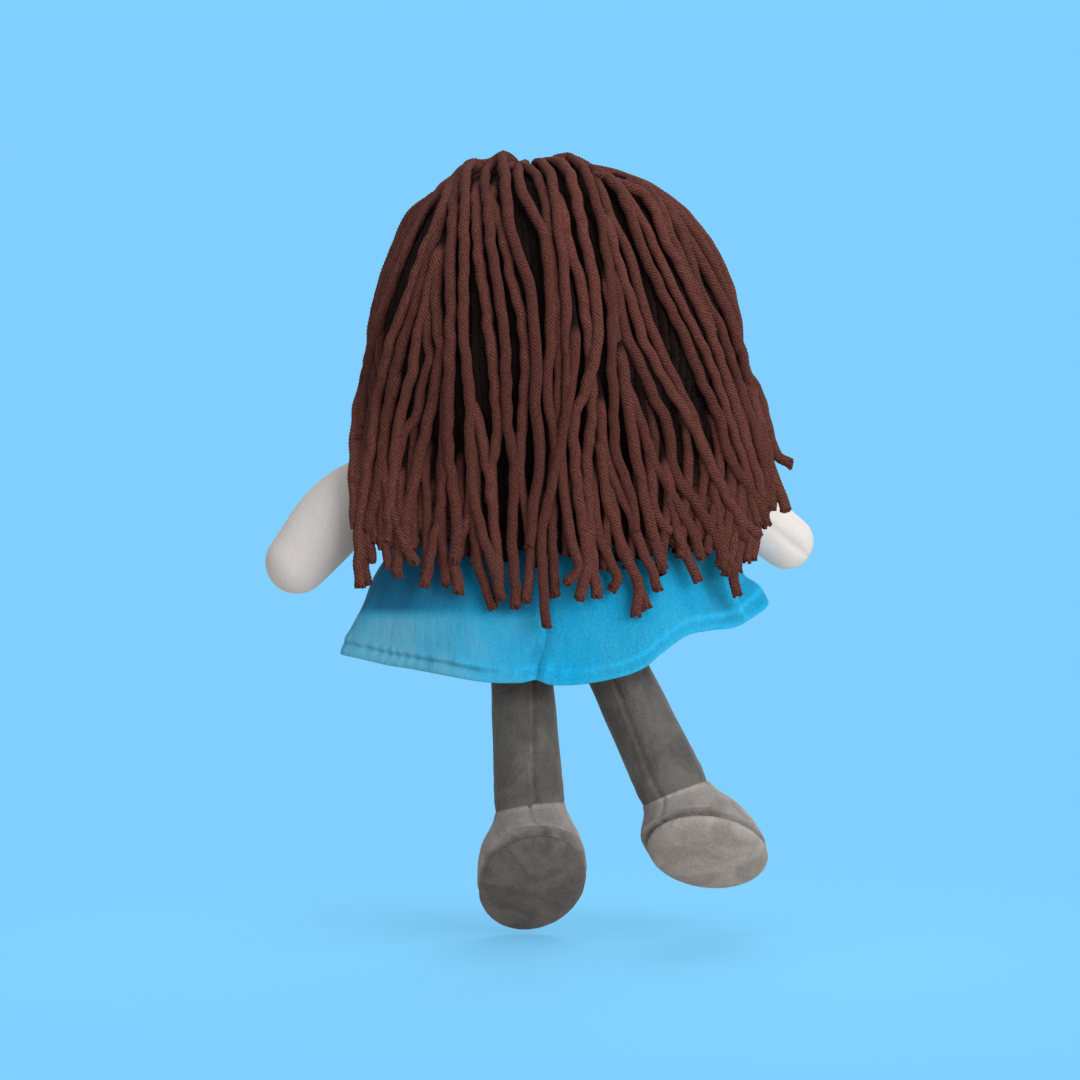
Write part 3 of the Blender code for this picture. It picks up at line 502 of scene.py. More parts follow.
def dressLook():
    # the pile of the dress lies the other way towards the left side, and looks greyer there, partly the pile's own lie
    # and partly painted sheen; higher up on the left back it is painted dark blue, as painted shadow of the hair
    look = pileLook("bluePlush", dressPile["cloth"], dressPile["brushed"], 34.0, 1500.0, 0.75, 0.10)
    tree = look.node_tree
    shader, group = tree.nodes["Principled BSDF"], next(one for one in tree.nodes if one.type == "GROUP")
    place = node(tree, "ShaderNodeTexCoord")
    split = node(tree, "ShaderNodeSeparateXYZ")
    join(tree, place, "Object", split, 0)
    # greyer low on the left back: partly brushed pile, partly painted sheen
    side = remap(tree, split, 0, dressPile["from"], dressPile["to"], 0.0, 0.9)
    patches = node(tree, "ShaderNodeTexNoise", Scale=22.0, Detail=2.0, Distortion=0.8)
    join(tree, place, "Object", patches, "Vector")
    uneven = remap(tree, patches, "Fac", 0.35, 0.62, 0.4, 1.0)
    amount = mathNode(tree, "MULTIPLY", (side, 0), (uneven, 0), clamp=True)
    lower = remap(tree, split, 2, dressPile["low"], dressPile["high"], 1.0, 0.1)
    back = remap(tree, split, 1, seatY - 0.004, seatY + 0.006)
    lowBack = mathNode(tree, "MULTIPLY", (lower, 0), (back, 0))
    lowOnly = mathNode(tree, "MULTIPLY", (amount, 0), (lowBack, 0))
    # painted shadow of the hair: a dark blue band on the left back, above the greyer part
    higher = remap(tree, split, 2, dressPile["low"] + 0.002, dressPile["high"] + 0.001, 0.0, 0.95)
    highBack = mathNode(tree, "MULTIPLY", (higher, 0), (back, 0))
    highSide = mathNode(tree, "MULTIPLY", (highBack, 0), (uneven, 0))
    leftOnly = remap(tree, split, 0, -0.02, 0.03)
    paintedHairShadowShare = mathNode(tree, "MULTIPLY", (highSide, 0), (leftOnly, 0), clamp=True)
    withPaintedHairShadow = mixColour(tree, (paintedHairShadowShare, 0), (group, "Color"), (*dressPile["deep"], 1))
    colour = mixColour(tree, (lowOnly, 0), (withPaintedHairShadow, 2), (*dressPile["napAndPaintedLight"], 1))
    join(tree, colour, 2, shader, "Base Color")
    return look


looks = {
    "skin": pileLook("ivoryVelour", (0.78, 0.745, 0.72), (0.86, 0.83, 0.81), 30.0, 1900.0, 0.5, 0.15, 0.9, 0.00015,
                     0.35),
    "blue": dressLook(),
    "stocking": pileLook("darkGreyPlush", (0.098, 0.090, 0.083), (0.178, 0.166, 0.155), 55.0, 1500.0, 0.8, 0.22),
    "shoe": pileLook("lightGreyPlush", (0.215, 0.198, 0.182), (0.36, 0.333, 0.310), 52.0, 1500.0, 0.85, 0.25),
    "sole": pileLook("solePlush", (0.103, 0.094, 0.086), (0.195, 0.180, 0.166), 48.0, 1500.0, 0.85, 0.2),
    "soleBrushedAndLit": pileLook("solePlushBrushedAndLit", (0.30, 0.276, 0.255), (0.46, 0.425, 0.395), 48.0, 1500.0, 0.85, 0.2),
    "stuffing": pileLook("polyesterFibre", (0.80, 0.79, 0.77), (0.9, 0.9, 0.89), 160.0, 800.0, 0.6, 0.1, 1.0, 0.001),
    "tape": pileLook("brownTape", (0.10, 0.035, 0.028), (0.16, 0.06, 0.048), 300.0, 1600.0, 0.6, 0.05, 0.95, 0.0003),
    "yarn": yarnLook("brownYarn", (0.055, 0.015, 0.011), (0.132, 0.042, 0.033), (0.208, 0.075, 0.061), 8.0),
    "eyeThread": yarnLook("darkThread", (0.008, 0.006, 0.006), (0.02, 0.015, 0.014), (0.06, 0.05, 0.048), 3.0),
    "mouthThread": yarnLook("redThread", (0.20, 0.03, 0.03), (0.42, 0.085, 0.08), (0.62, 0.2, 0.18), 3.0),
}
print("materials ready")


# camera, light, floor

photo = {"size": 1080, "metresPerPixel": 0.00046, "aim": (0.0069, 0.0506), "distance": 1.4}


def photoPoint(px, py, y):
    # where the ray through a pixel of the photograph meets the plane at world y
    spread = (photo["distance"] - (y - seatY)) / photo["distance"]
    x = photo["aim"][0] - (px - photo["size"] / 2) * photo["metresPerPixel"] * spread
    z = photo["aim"][1] + (photo["size"] / 2 - py) * photo["metresPerPixel"] * spread
    return Vector((x, y, z))


def makeCamera():
    lens = bpy.data.cameras.new("camera")
    lens.lens = 36 * photo["distance"] / (photo["size"] * photo["metresPerPixel"])
    lens.sensor_width = 36
    camera = bpy.data.objects.new("camera", lens)
    camera.location = (photo["aim"][0], seatY + photo["distance"], photo["aim"][1])
    camera.rotation_euler = (math.pi / 2, 0, math.pi)
    rootCollection.objects.link(camera)
    bpy.context.scene.camera = camera


studio = {
    "background": (0.220, 0.624, 1.0, 1),
    "roomLight": 0.31,
    "lamps": (
        ("keyLamp", (-0.85, 1.15, 0.50), 1.1, 16.0),
        ("sideLamp", (0.75, 1.25, 0.75), 0.9, 2.0),
        ("faceLamp", (-0.3, -1.4, 0.7), 1.1, 16.0),
        ("topLamp", (0.0, 0.3, 1.5), 0.9, 8.0),
    ),
    "floorZ": -0.1345,
}


def makeStudio():
    for name, place, size, power in studio["lamps"]:
        light = bpy.data.lights.new(name, "AREA")
        light.size = size
        light.energy = power
        lamp = bpy.data.objects.new(name, light)
        lamp.location = place
        lamp.rotation_euler = (Vector((0, seatY, 0.05)) - Vector(place)).to_track_quat("-Z", "Y").to_euler()
        rootCollection.objects.link(lamp)
    world = bpy.data.worlds.new("paleBlueRoom")
    bpy.context.scene.world = world
    world.use_nodes = True
    tree = world.node_tree
    tree.nodes.clear()
    seen = addSeen(tree)
    room = node(tree, "ShaderNodeBackground", Color=(1, 0.98, 0.96, 1), Strength=studio["roomLight"])
    back = node(tree, "ShaderNodeBackground", Color=studio["background"], Strength=1.0)
    mix = node(tree, "ShaderNodeMixShader")
    out = node(tree, "ShaderNodeOutputWorld")
    join(tree, seen, 0, mix, 0)
    join(tree, room, 0, mix, 1)
    join(tree, back, 0, mix, 2)
    join(tree, mix, 0, out, 0)


def addSeen(tree):
    path = node(tree, "ShaderNodeLightPath")
    first = mathNode(tree, "ADD", (path, "Is Camera Ray"), (path, "Is Glossy Ray"), clamp=True)
    return mathNode(tree, "ADD", (first, 0), (path, "Is Transmission Ray"), clamp=True)


def makeFloor():
    deselectAll()
    bpy.ops.mesh.primitive_grid_add(x_subdivisions=8, y_subdivisions=8, size=12, location=(0, 0, 0))
    floor = bpy.context.object
    floor.name = "floor"
    for vert in floor.data.vertices:
        vert.co.z = studio["floorZ"]
    look, tree, shader = newLook("paleFloor")
    floor.data.materials.append(look)
    lit = node(tree, "ShaderNodeLightPath")
    colour = mixColour(tree, (lit, "Is Camera Ray"), (0.62, 0.61, 0.60, 1), (0.238, 0.674, 1.0, 1))
    join(tree, colour, 2, shader, "Base Color")
    shader.inputs["Roughness"].default_value = 1.0
    shader.inputs["Specular IOR Level"].default_value = 0.0
    glow = node(tree, "ShaderNodeEmission", Color=studio["background"], Strength=1.0)
    place = node(tree, "ShaderNodeTexCoord")
    distance = node(tree, "ShaderNodeVectorMath", operation="LENGTH")
    join(tree, place, "Object", distance, 0)
    away = node(tree, "ShaderNodeMapRange")
    away.interpolation_type = "SMOOTHSTEP"
    for index, value in enumerate((0.10, 0.42, 0.55, 1.0), 1):
        away.inputs[index].default_value = value
    join(tree, distance, "Value", away, 0)
    seen = addSeen(tree)
    share = mathNode(tree, "MULTIPLY", (away, 0), (seen, 0))
    mix = node(tree, "ShaderNodeMixShader")
    join(tree, share, 0, mix, 0)
    join(tree, shader, 0, mix, 1)
    join(tree, glow, 0, mix, 2)
    tree.links.new(mix.outputs[0], tree.nodes["Material Output"].inputs[0])


makeCamera()
makeStudio()
makeFloor()
print("camera, light and floor ready")


# head

head = {"half": (0.0795, 0.060, 0.064), "centre": 0.154, "taper": 0.20, "plan": 2.1, "side": 2.5,
        "columns": 96, "rows": 56, "seamIn": 0.0010}


def headPoint(direction, inset=0.0):
    plan = (abs(direction.x) ** head["plan"] + abs(direction.y) ** head["plan"]) ** (1 / head["plan"])
    reach = (plan ** head["side"] + abs(direction.z) ** head["side"]) ** (-1 / head["side"])
    unit = direction * reach
    halfX, halfY, halfZ = (half - inset for half in head["half"])
    return doll(halfX * unit.x * (1 - head["taper"] * unit.z), halfY * unit.y, head["centre"] + halfZ * unit.z)


def headFront(x, z, out=0.0):
    rise = (z - head["centre"]) / head["half"][2]
    plan = (1 - abs(rise) ** head["side"]) ** (1 / head["side"])
    aside = abs(x) / (head["half"][0] * (1 - head["taper"] * rise))
    depth = max(plan ** head["plan"] - aside ** head["plan"], 0) ** (1 / head["plan"])
    return seatY - head["half"][1] * depth - out


def makeHead():
    deselectAll()
    bpy.ops.mesh.primitive_uv_sphere_add(segments=head["columns"], ring_count=head["rows"], radius=1,
                                         location=(0, 0, 0))
    piece = takeNew("headSkin", looks["skin"])
    pins = piece.vertex_groups.new(name="held")
    lighter = []
    for vert in piece.data.vertices:
        direction = vert.co.normalized()
        onSeam = abs(direction.y) < 0.01
        vert.co = headPoint(direction, head["seamIn"] if onSeam else 0.0)
        face = between(0.55, 0.75, -direction.y)
        pins.add([vert.index], 1.0 if onSeam else max(between(0.75, 0.9, -direction.z), 0.9 * face), "REPLACE")
        # the seam is painted darker, as painted shade in its groove
        lighter.append(-0.15 if onSeam else 0.0)
    keepValues(piece, "napAndPaintedLight", lighter)
    return piece


# torso

torso = {"halfWidth": 0.047, "halfDepth": 0.0285, "height": 0.078, "shiftBack": 0.008, "neckZ": 0.095, "neck": 0.0215,
         "rows": ((0.0, 0.66, 0.70, 1.0), (0.06, 0.86, 0.86, 0.75), (0.18, 0.97, 0.97, 0.5), (0.38, 1.0, 1.0, 0.25),
                  (0.62, 0.96, 0.95, 0.0), (0.83, 0.90, 0.86, 0.0), (0.93, 0.80, 0.72, 0.0), (0.98, 0.60, 0.62, 0.0))}


def torsoRings():
    rings = [(doll(0, torso["shiftBack"], 0), Vector((0, 0, 0)), Vector((0, 0, 0)))]
    for share in (0.35, 0.7):
        rings.append((doll(0, torso["shiftBack"], 0), Vector((torso["halfWidth"] * 0.66 * share, 0, 0)),
                      Vector((0, torso["halfDepth"] * 0.70 * share, 0))))
    for height, width, depth, shift in torso["rows"]:
        rings.append((doll(0, shift * torso["shiftBack"], height * torso["height"]),
                      Vector((width * torso["halfWidth"], 0, 0)), Vector((0, depth * torso["halfDepth"], 0))))
    foot = math.asin((torso["height"] - torso["neckZ"]) / torso["neck"])
    for step in range(9):
        lift = foot + (math.pi / 2 - foot) * step / 8
        half = max(torso["neck"] * math.cos(lift), 0.0)
        rings.append((doll(0, 0, torso["neckZ"] + torso["neck"] * math.sin(lift)), Vector((half, 0, 0)),
                      Vector((0, half, 0))))
    return rings


hipRoom = {"reach": 0.060, "radius": 0.0154, "swing": (-20, 0, 20, 40, 60, 80, 95)}


def hipHull():
    # the room that both thighs need over their whole swing
    mesh = bmesh.new()
    for side, sign in (("left", 1), ("right", -1)):
        one = bmesh.new()
        hip, down = legWays(side, sign)[::3]
        places = [hip] + [hip + Matrix.Rotation(-math.radians(turn), 3, "X") @ down * hipRoom["reach"]
                          for turn in hipRoom["swing"]]
        for place in places:
            bmesh.ops.create_icosphere(one, subdivisions=2, radius=hipRoom["radius"],
                                       matrix=Matrix.Translation(place))
        points = [vert.co.copy() for vert in one.verts]
        one.free()
        fresh = [mesh.verts.new(point) for point in points]
        hull = bmesh.ops.convex_hull(mesh, input=fresh)
        bmesh.ops.delete(mesh, geom=[item for item in hull["geom_interior"] if isinstance(item, bmesh.types.BMVert)],
                         context="VERTS")
    data = bpy.data.meshes.new("hipRoom")
    mesh.to_mesh(data)
    mesh.free()
    room = bpy.data.objects.new("hipRoom", data)
    rootCollection.objects.link(room)
    return room


def makeTorso():
    piece = roundPiece("torsoSkin", looks["skin"], 64, torsoRings())
    finer = piece.modifiers.new("finer", "SUBSURF")
    finer.levels = finer.render_levels = 1
    room = hipHull()
    take = piece.modifiers.new("hip room", "BOOLEAN")
    take.operation = "DIFFERENCE"
    take.object = room
    applyAll(piece)
    bpy.data.objects.remove(room, do_unlink=True)
    bpy.ops.object.shade_smooth_by_angle(angle=math.radians(40))
    return piece


# arms

stuffing = {"inset": 0.0026, "footInset": 0.0006, "footHeight": 0.012, "overSole": 0.0016}
# shade is how much darker each arm is painted all over, as painted shade; the left arm takes the most
arms = {
    "radius": 0.0135, "handThin": 0.80, "shoulder": (0.047, 0.070), "sides": 56, "seamIn": 0.0007,
    "left": {"route": ((0, 0, 0), (0.023, -0.001, 0.0060), (0.047, -0.001, -0.0020), (0.0715, -0.001, -0.0294)),
             "halves": ((0.0, 0.0135), (0.25, 0.0148), (0.5, 0.0166), (0.75, 0.0172), (1.0, 0.0150)), "shade": -0.16,
             "seam": 0.0, "dimple": 0.0},
    "right": {"route": ((0, 0, 0), (-0.021, -0.010, 0.002), (-0.042, -0.024, -0.006), (-0.0625, -0.034, -0.0205)),
              "halves": ((0.0, 0.0135), (0.5, 0.0135), (0.8, 0.0134), (1.0, 0.0128)), "shade": -0.02,
              "seam": 1.64, "dimple": 0.0011},
}


def armRings(side, sign, inset=0.0):
    shoulder = doll(sign * arms["shoulder"][0], 0, arms["shoulder"][1])
    line = curveThrough([shoulder + Vector(point) for point in arms[side]["route"]], 0.0032)
    hand, radius = arms[side]["halves"][-1][1] - inset, arms["radius"] - inset
    outward = Vector((sign, 0, 0))
    rings = []
    for step in range(7, -1, -1):
        turn = math.pi / 2 * step / 7
        if step:
            half = radius * math.cos(turn)
            rings.append(armRing(line[0] - outward * radius * math.sin(turn), outward, half, half))
    for index, place in enumerate(line):
        along = (line[min(index + 1, len(line) - 1)] - line[max(index - 1, 0)]).normalized()
        share = index / (len(line) - 1)
        half = smoothLookup(arms[side]["halves"], share) - inset
        thin = 1 + (arms["handThin"] - 1) * smoothStep(share)
        along = outward.lerp(along, smoothStep(index / 3)).normalized()
        rings.append(armRing(place, along, half, half * thin))
    for step in range(1, 9):
        turn = math.pi / 2 * step / 8
        half = hand * math.cos(turn)
        rings.append(armRing(line[-1] + along * hand * math.sin(turn), along, half, half * arms["handThin"]))
    return rings


def armRing(centre, along, halfHeight, halfDepth):
    depthWay = (Vector((0, 1, 0)) - along * along.y).normalized()
    return centre, along.cross(depthWay) * max(halfHeight, 0), depthWay * max(halfDepth, 0)


def makeArm(side, sign):
    def crease(angle, share, place):
        # the seam runs along the arm's upper and lower edges
        edge = abs(math.sin(angle - arms[side]["seam"]))
        line = math.exp(-((edge / 0.10) ** 2)) * between(0.25, 0.45, share)
        pucker = arms[side]["dimple"] * math.exp(-((edge / 0.22) ** 2)) * bump1d(share, 0.80, 0.07)
        folds = 0.0003 * math.sin(share * 70 + 2 * math.cos(angle)) * bump1d(share, 0.36, 0.10)
        # the arm takes its painted shade all over, and more painted shade along the seam's groove
        return (-arms["seamIn"] * line - pucker + folds * (0.5 + 0.5 * math.cos(angle)),
                arms[side]["shade"] - 0.10 * line)

    def sewn(angle, share, place):
        edge = abs(math.sin(angle - arms[side]["seam"]))
        return max(1 - between(0.10, 0.75, share), math.exp(-((edge / 0.06) ** 2)))

    return roundPiece(side + "Arm", looks["skin"], arms["sides"], armRings(side, sign), crease, sewn)


def makeArmStuffing(side, sign):
    return roundPiece(side + "ArmStuffing", looks["stuffing"], 32, armRings(side, sign, stuffing["inset"]))


# legs and shoes

legs = {
    "hip": (0.0170, -0.0080, 0.0150), "thigh": 0.0140, "ankle": 0.0165, "length": 0.088, "flare": 1.5, "sides": 88,
    "left": {"splay": -3.5, "twist": 0.0, "seam": 102.0, "spin": -14.0, "tilt": (0.09, -0.18), "cuff": 0.0,
             "aside": 0.001, "drop": 44.0, "below": 0.0340},
    "right": {"splay": 25.4, "twist": 22.0, "seam": 66.0, "spin": 7.0, "tilt": (0.0, -0.16), "cuff": 0.002,
              "aside": -0.0008, "drop": 47.0, "below": 0.0315},
    "sole": (0.0246, 0.0335), "soleAhead": 0.005, "soleGap": 0.0008,
    "soleProfile": ((0.0, 0.0), (0.6, 0.0), (0.985, 0.0004), (1.0, 0.0012), (0.995, 0.0024), (0.965, 0.0034),
                    (0.90, 0.0045), (0.75, 0.0055), (0.5, 0.0062), (0.25, 0.0066), (0.0, 0.0067)),
    "swell": ((0.0, 0.0, 0.0), (0.10, 0.05, 0.04), (0.22, 0.26, 0.20), (0.46, 0.74, 0.60), (0.72, 1.0, 0.93),
              (0.90, 1.03, 1.02), (1.0, 1.0, 1.0)),
}


def legWays(side, sign):
    hip = doll(sign * legs["hip"][0], *legs["hip"][1:])
    splay = Matrix.Rotation(-sign * math.radians(legs[side]["splay"]), 3, "Y")
    turned = splay @ Matrix.Rotation(sign * math.radians(legs[side]["twist"]), 3, "Z")
    return hip, splay, turned, splay @ Vector((0, 0, -1))


def legRings(side, sign, steps, count, inset=0.0):
    # from the ball of the hip down the leg
    hip, splay, turned, down = legWays(side, sign)
    across, ahead = splay @ Vector((1, 0, 0)), Vector((0, 1, 0))
    rings = []
    for step in range(8, 0, -1):
        turn = math.pi / 2 * step / 8
        half = (legs["thigh"] - inset) * math.cos(turn)
        rings.append((hip - down * (legs["thigh"] - inset) * math.sin(turn), across * half, ahead * half))
    for step in range(count):
        share = step / steps
        half = legs["thigh"] + (legs["ankle"] - legs["thigh"]) * share ** legs["flare"] - inset
        rings.append((hip + down * legs["length"] * share, across * half, ahead * half))
    return rings


def makeStocking(side, sign):
    hip, splay, turned, down = legWays(side, sign)
    across, ahead = splay @ Vector((1, 0, 0)), Vector((0, 1, 0))
    rings = legRings(side, sign, 56, 57)
    for half, lower in ((0.98, 0.004), (0.8, 0.007), (0.45, 0.008), (0.0, 0.008)):
        rings.append((hip + down * (legs["length"] + lower), across * legs["ankle"] * half,
                      ahead * legs["ankle"] * half))
    seam = math.radians(legs[side]["seam"])

    def fromSeam(angle, place):
        fall = (place - hip).dot(down) / legs["length"]
        return fall, (angle - seam - 0.10 * math.sin(fall * 5) + math.pi) % math.tau - math.pi

    def detail(angle, share, place):
        fall, off = fromSeam(angle, place)
        groove = -0.0007 * bump1d(off, 0.10, 0.07) + 0.0003 * bump1d(off, -0.03, 0.06)
        pinch = 0.0002 * math.sin(fall * 75 + 4 * off) * bump1d(off, 0.0, 0.35)
        wrinkle = 0.00012 * math.sin(fall * 70 + 2.6 * math.sin(2 * angle + sign)) * bump1d(fall, 0.90, 0.09)
        upper = 0.00015 * math.sin(fall * 21 + 3 * math.cos(angle)) * bump1d(fall, 0.35, 0.3)
        ankle = -0.0005 * between(0.955, 1.0, fall)
        uneven = 0.6 + 0.4 * math.sin(fall * 17 + sign)
        # painted highlight on the ridge beside the seam, painted shade in the seam's groove, and painted shadow of the
        # hem over the top of the leg
        light = (0.30 * uneven * bump1d(off, -0.05, 0.035) - 0.28 * bump1d(off, 0.09, 0.06)
                 - 0.30 * between(0.47, 0.36, fall))
        return (groove + wrinkle + upper + ankle + pinch) * between(-0.05, 0.12, fall), light * between(0.1, 0.3, fall)

    def sewn(angle, share, place):
        fall, off = fromSeam(angle, place)
        return max(1 - between(0.15, 0.4, fall), between(0.75, 0.97, fall), bump1d(off, 0.06, 0.09))

    return roundPiece(side + "Stocking", looks["stocking"], legs["sides"], rings, detail, sewn)


def shoeSection(side, sign, way, inset=0.0):
    # a ring of the shoe, way being 0 at the ankle and 1 at the sole
    hip, splay, turned, down = legWays(side, sign)
    drop = math.radians(legs[side]["drop"])
    sole = turned @ Vector((0, math.cos(drop), -math.sin(drop)))
    ankle = hip + down * legs["length"]
    middle = hip + down * (legs["length"] + legs[side]["below"]) + turned @ Vector((0, -1, 0)) * legs["soleAhead"]
    across = turned @ Vector((1, 0, 0))
    ankle += down * legs[side]["cuff"]
    centre = ankle.lerp(middle, way) + Vector((legs[side]["aside"] * smoothStep(way), 0, 0))
    facing = down.lerp(sole, way).normalized()
    spin = Matrix.Rotation(math.radians(legs[side]["spin"]) * smoothStep(way), 3, facing)
    sideWay = spin @ (across - facing * across.dot(facing)).normalized()
    longWay = sideWay.cross(facing)
    tiltSide, tiltBack = (tilt * between(0.6, 0.0, way) for tilt in legs[side]["tilt"])
    sideWay, longWay = sideWay + down * tiltSide, longWay + down * tiltBack
    wide, long = (smoothLookup([(row[0], row[column]) for row in legs["swell"]], way) for column in (1, 2))
    halfWidth = legs["ankle"] + (legs["sole"][0] - legs["ankle"]) * wide - inset
    halfLength = legs["ankle"] + (legs["sole"][1] - legs["ankle"]) * long - inset
    return centre, sideWay * halfWidth, longWay * halfLength, facing


def makeShoe(side, sign):
    rings = []
    centre, across, ahead, facing = shoeSection(side, sign, 0)
    for half, push in ((0.0, 0.006), (0.5, 0.006), (0.9, 0.0045), (0.985, 0.002)):
        rings.append((centre + facing * push, across * half, ahead * half))
    ringCount, before = 27, len(rings)
    for step in range(ringCount + 1):
        centre, across, ahead, facing = shoeSection(side, sign, step / ringCount)
        rings.append((centre, across, ahead))
    for size, push in ((0.97, 0.0008), (0.8, 0.0012), (0.4, 0.0012), (0.0, 0.0012)):
        rings.append((centre + facing * push, across * size, ahead * size))

    def detail(angle, share, place):
        way = (share * (len(rings) - 1) - before) / ringCount
        ankle = -0.0008 * bump1d(way, 0.0, 0.03)
        edge = -0.0006 * bump1d(way, 1.0, 0.030) + 0.0003 * bump1d(way, 0.93, 0.04)
        heel = abs((angle - math.pi / 2 + math.pi) % math.tau - math.pi)
        back = -0.0010 * bump1d(heel, 0.0, 0.05) * between(0.0, 0.1, way)
        puckers = 0.0003 * math.sin(angle * 26 + 2 * math.sin(angle * 5)) * (
            bump1d(way, 0.05, 0.07) + bump1d(way, 0.96, 0.06))
        uneven = 0.6 + 0.4 * math.sin(angle * 9 + 2.5 * math.sin(angle * 4))
        # painted shade at the ankle seam, the sole's edge and the heel seam, with painted highlights on the rims
        # beside them
        light = (-0.45 * bump1d(way, 0.0, 0.035) + 0.22 * bump1d(way, 0.07, 0.05)
                 - 0.25 * uneven * bump1d(way, 1.0, 0.025)
                 - 0.18 * bump1d(heel, 0.0, 0.05) * between(0.0, 0.1, way) + 0.12 * bump1d(heel, 0.12, 0.05))
        return ankle + edge + back + puckers, light

    def sewn(angle, share, place):
        way = (share * (len(rings) - 1) - before) / ringCount
        return max(1 - between(0.05, 0.45, way), between(0.90, 0.97, way))

    upper = roundPiece(side + "Shoe", looks["shoe"], 80, rings, detail, sewn)

    under = []
    for size, push in legs["soleProfile"]:
        under.append((centre + facing * (push + legs["soleGap"]), across * size, ahead * size))

    def soleDetail(angle, share, place):
        uneven = 0.55 + 0.45 * math.sin(angle * 8 + 2 * math.sin(angle * 5))
        # a darker band near the sole's seam, as painted shade
        return (0.0002 * math.sin(angle * 24 + 2 * math.sin(angle * 7)) * bump1d(share, 0.35, 0.12),
                -0.2 * uneven * bump1d(share, 0.28, 0.06))

    def soleSewn(angle, share, place):
        return 1 - between(0.42, 0.6, share)

    # the right sole takes a lighter copy of the sole plush: partly its pile brushed the other way, partly painted
    # light
    look = looks["sole" if side == "left" else "soleBrushedAndLit"]
    return upper, roundPiece(side + "Sole", look, 64, under, soleDetail, soleSewn)


def makeLegStuffing(side, sign):
    rings = legRings(side, sign, 24, 24, stuffing["inset"])
    for step in range(16):
        centre, across, ahead, facing = shoeSection(side, sign, 0.02 + 0.93 * step / 15, stuffing["inset"])
        rings.append((centre, across, ahead))
    for size in (0.9, 0.5, 0.0):
        rings.append((centre, across * size, ahead * size))
    piece = roundPiece(side + "LegStuffing", looks["stuffing"], 40, rings)
    centre, across, ahead, facing = shoeSection(side, sign, 1, stuffing["inset"] + stuffing["footInset"])
    for vert in piece.data.vertices:  # the rings cross near the heel, so the foot is kept over the sole
        away = vert.co - centre
        below = away.dot(facing)
        if below > -stuffing["footHeight"]:
            flat = away - facing * below
            reach = math.hypot(flat.dot(across) / across.length_squared, flat.dot(ahead) / ahead.length_squared)
            vert.co = centre + flat / max(reach, 1.0) + facing * min(below, -stuffing["overSole"])
    return piece


def smoothLookup(table, value):
    for index, ((x0, y0), (x1, y1)) in enumerate(zip(table, table[1:])):
        if value <= x1 or index == len(table) - 2:
            before = table[max(index - 1, 0)]
            after = table[min(index + 2, len(table) - 1)]
            t = (value - x0) / (x1 - x0)
            slope0 = (y1 - before[1]) / (x1 - before[0]) * (x1 - x0)
            slope1 = (after[1] - y0) / (after[0] - x0) * (x1 - x0)
            return ((2 * t**3 - 3 * t**2 + 1) * y0 + (t**3 - 2 * t**2 + t) * slope0 + (3 * t**2 - 2 * t**3) * y1
                    + (t**3 - t**2) * slope1)


# dress

dress = {
    "halfWidth": 0.0970, "halfDepth": 0.0350, "top": 0.0805, "shiftBack": 0.0020, "thickness": 0.0016,
    "backDrop": 0.0165, "fold": 0.0022, "arc": 0.09, "armholeDeep": 0.047,
    "frontHem": ((-1.0, 0.0240), (-0.946, 0.0190), (-0.86, 0.0150), (-0.74, 0.0125), (-0.6, 0.0090), (-0.4, 0.0020),
                 (-0.2, -0.0035), (0.0, -0.0060), (0.5, -0.0048), (1.0, -0.0010)),
    "stitchUp": 0.0052, "armhole": 0.0171, "bodiceZ": 0.045, "seam": math.pi / 2 - 0.047, "seamShift": -0.045,
    "leftWider": ((0.0, 0.0), (0.2, 0.02), (0.32, 0.055), (0.44, 0.065), (0.58, 0.030), (0.72, -0.016), (0.87, -0.012),
                  (1.0, 0.0)),
    "rightWider": ((0.0, 0.0), (0.5, 0.0), (0.65, -0.035), (0.80, -0.072), (0.90, -0.024), (1.0, 0.0)),
    "fold0": (-0.0733, 0.0370), "fold1": (-0.0837, 0.0175),
    "backHem": ((-1.0, 0.0240), (-0.946, 0.0180), (-0.86, 0.0112), (-0.74, 0.0096), (-0.613, 0.0072), (-0.47, -0.0010),
                (-0.412, -0.0059), (-0.327, -0.0100), (-0.156, -0.0140), (-0.012, -0.0149), (0.131, -0.0139),
                (0.304, -0.0135), (0.506, -0.0102), (0.677, -0.0079), (0.82, -0.0059), (1.0, -0.0010)),
    "rows": ((0.0, 0.235, 0.60), (0.018, 0.35, 0.68), (0.06, 0.455, 0.74), (0.15, 0.50, 0.80), (0.29, 0.60, 0.855),
             (0.44, 0.715, 0.90), (0.58, 0.83, 0.945), (0.72, 0.925, 0.98), (0.87, 0.98, 1.0), (1.0, 1.0, 1.0)),
}
dressWidths = [(row[0], row[1]) for row in dress["rows"]]
dressDepths = [(row[0], row[2]) for row in dress["rows"]]


def seamAngle(fall):
    # the centre-back seam swings to the left near the hem
    return dress["seam"] + dress["seamShift"] * between(0.76, 1.0, fall)


def hemHeight(angle):
    if math.sin(angle) > 0:
        return smoothLookup(dress["backHem"], math.cos(angle)) + 0.0017 * bump1d(angle, seamAngle(1), 0.04)
    return smoothLookup(dress["frontHem"], math.cos(angle))


def dressPoint(angle, fall, out=0.0):
    z = dress["top"] + (hemHeight(angle) - dress["top"]) * fall
    fold = dress["fold"] * fall**2 * math.sin(7 * angle) + out
    wider = smoothLookup(dress["leftWider" if math.cos(angle) > 0 else "rightWider"], fall)
    wider *= between(0.3, 1.0, abs(math.cos(angle)))
    halfWidth = (smoothLookup(dressWidths, fall) + wider) * dress["halfWidth"] + fold
    halfDepth = smoothLookup(dressDepths, fall) * dress["halfDepth"] + fold
    return doll(halfWidth * math.cos(angle), fall * dress["shiftBack"] + halfDepth * math.sin(angle), z)


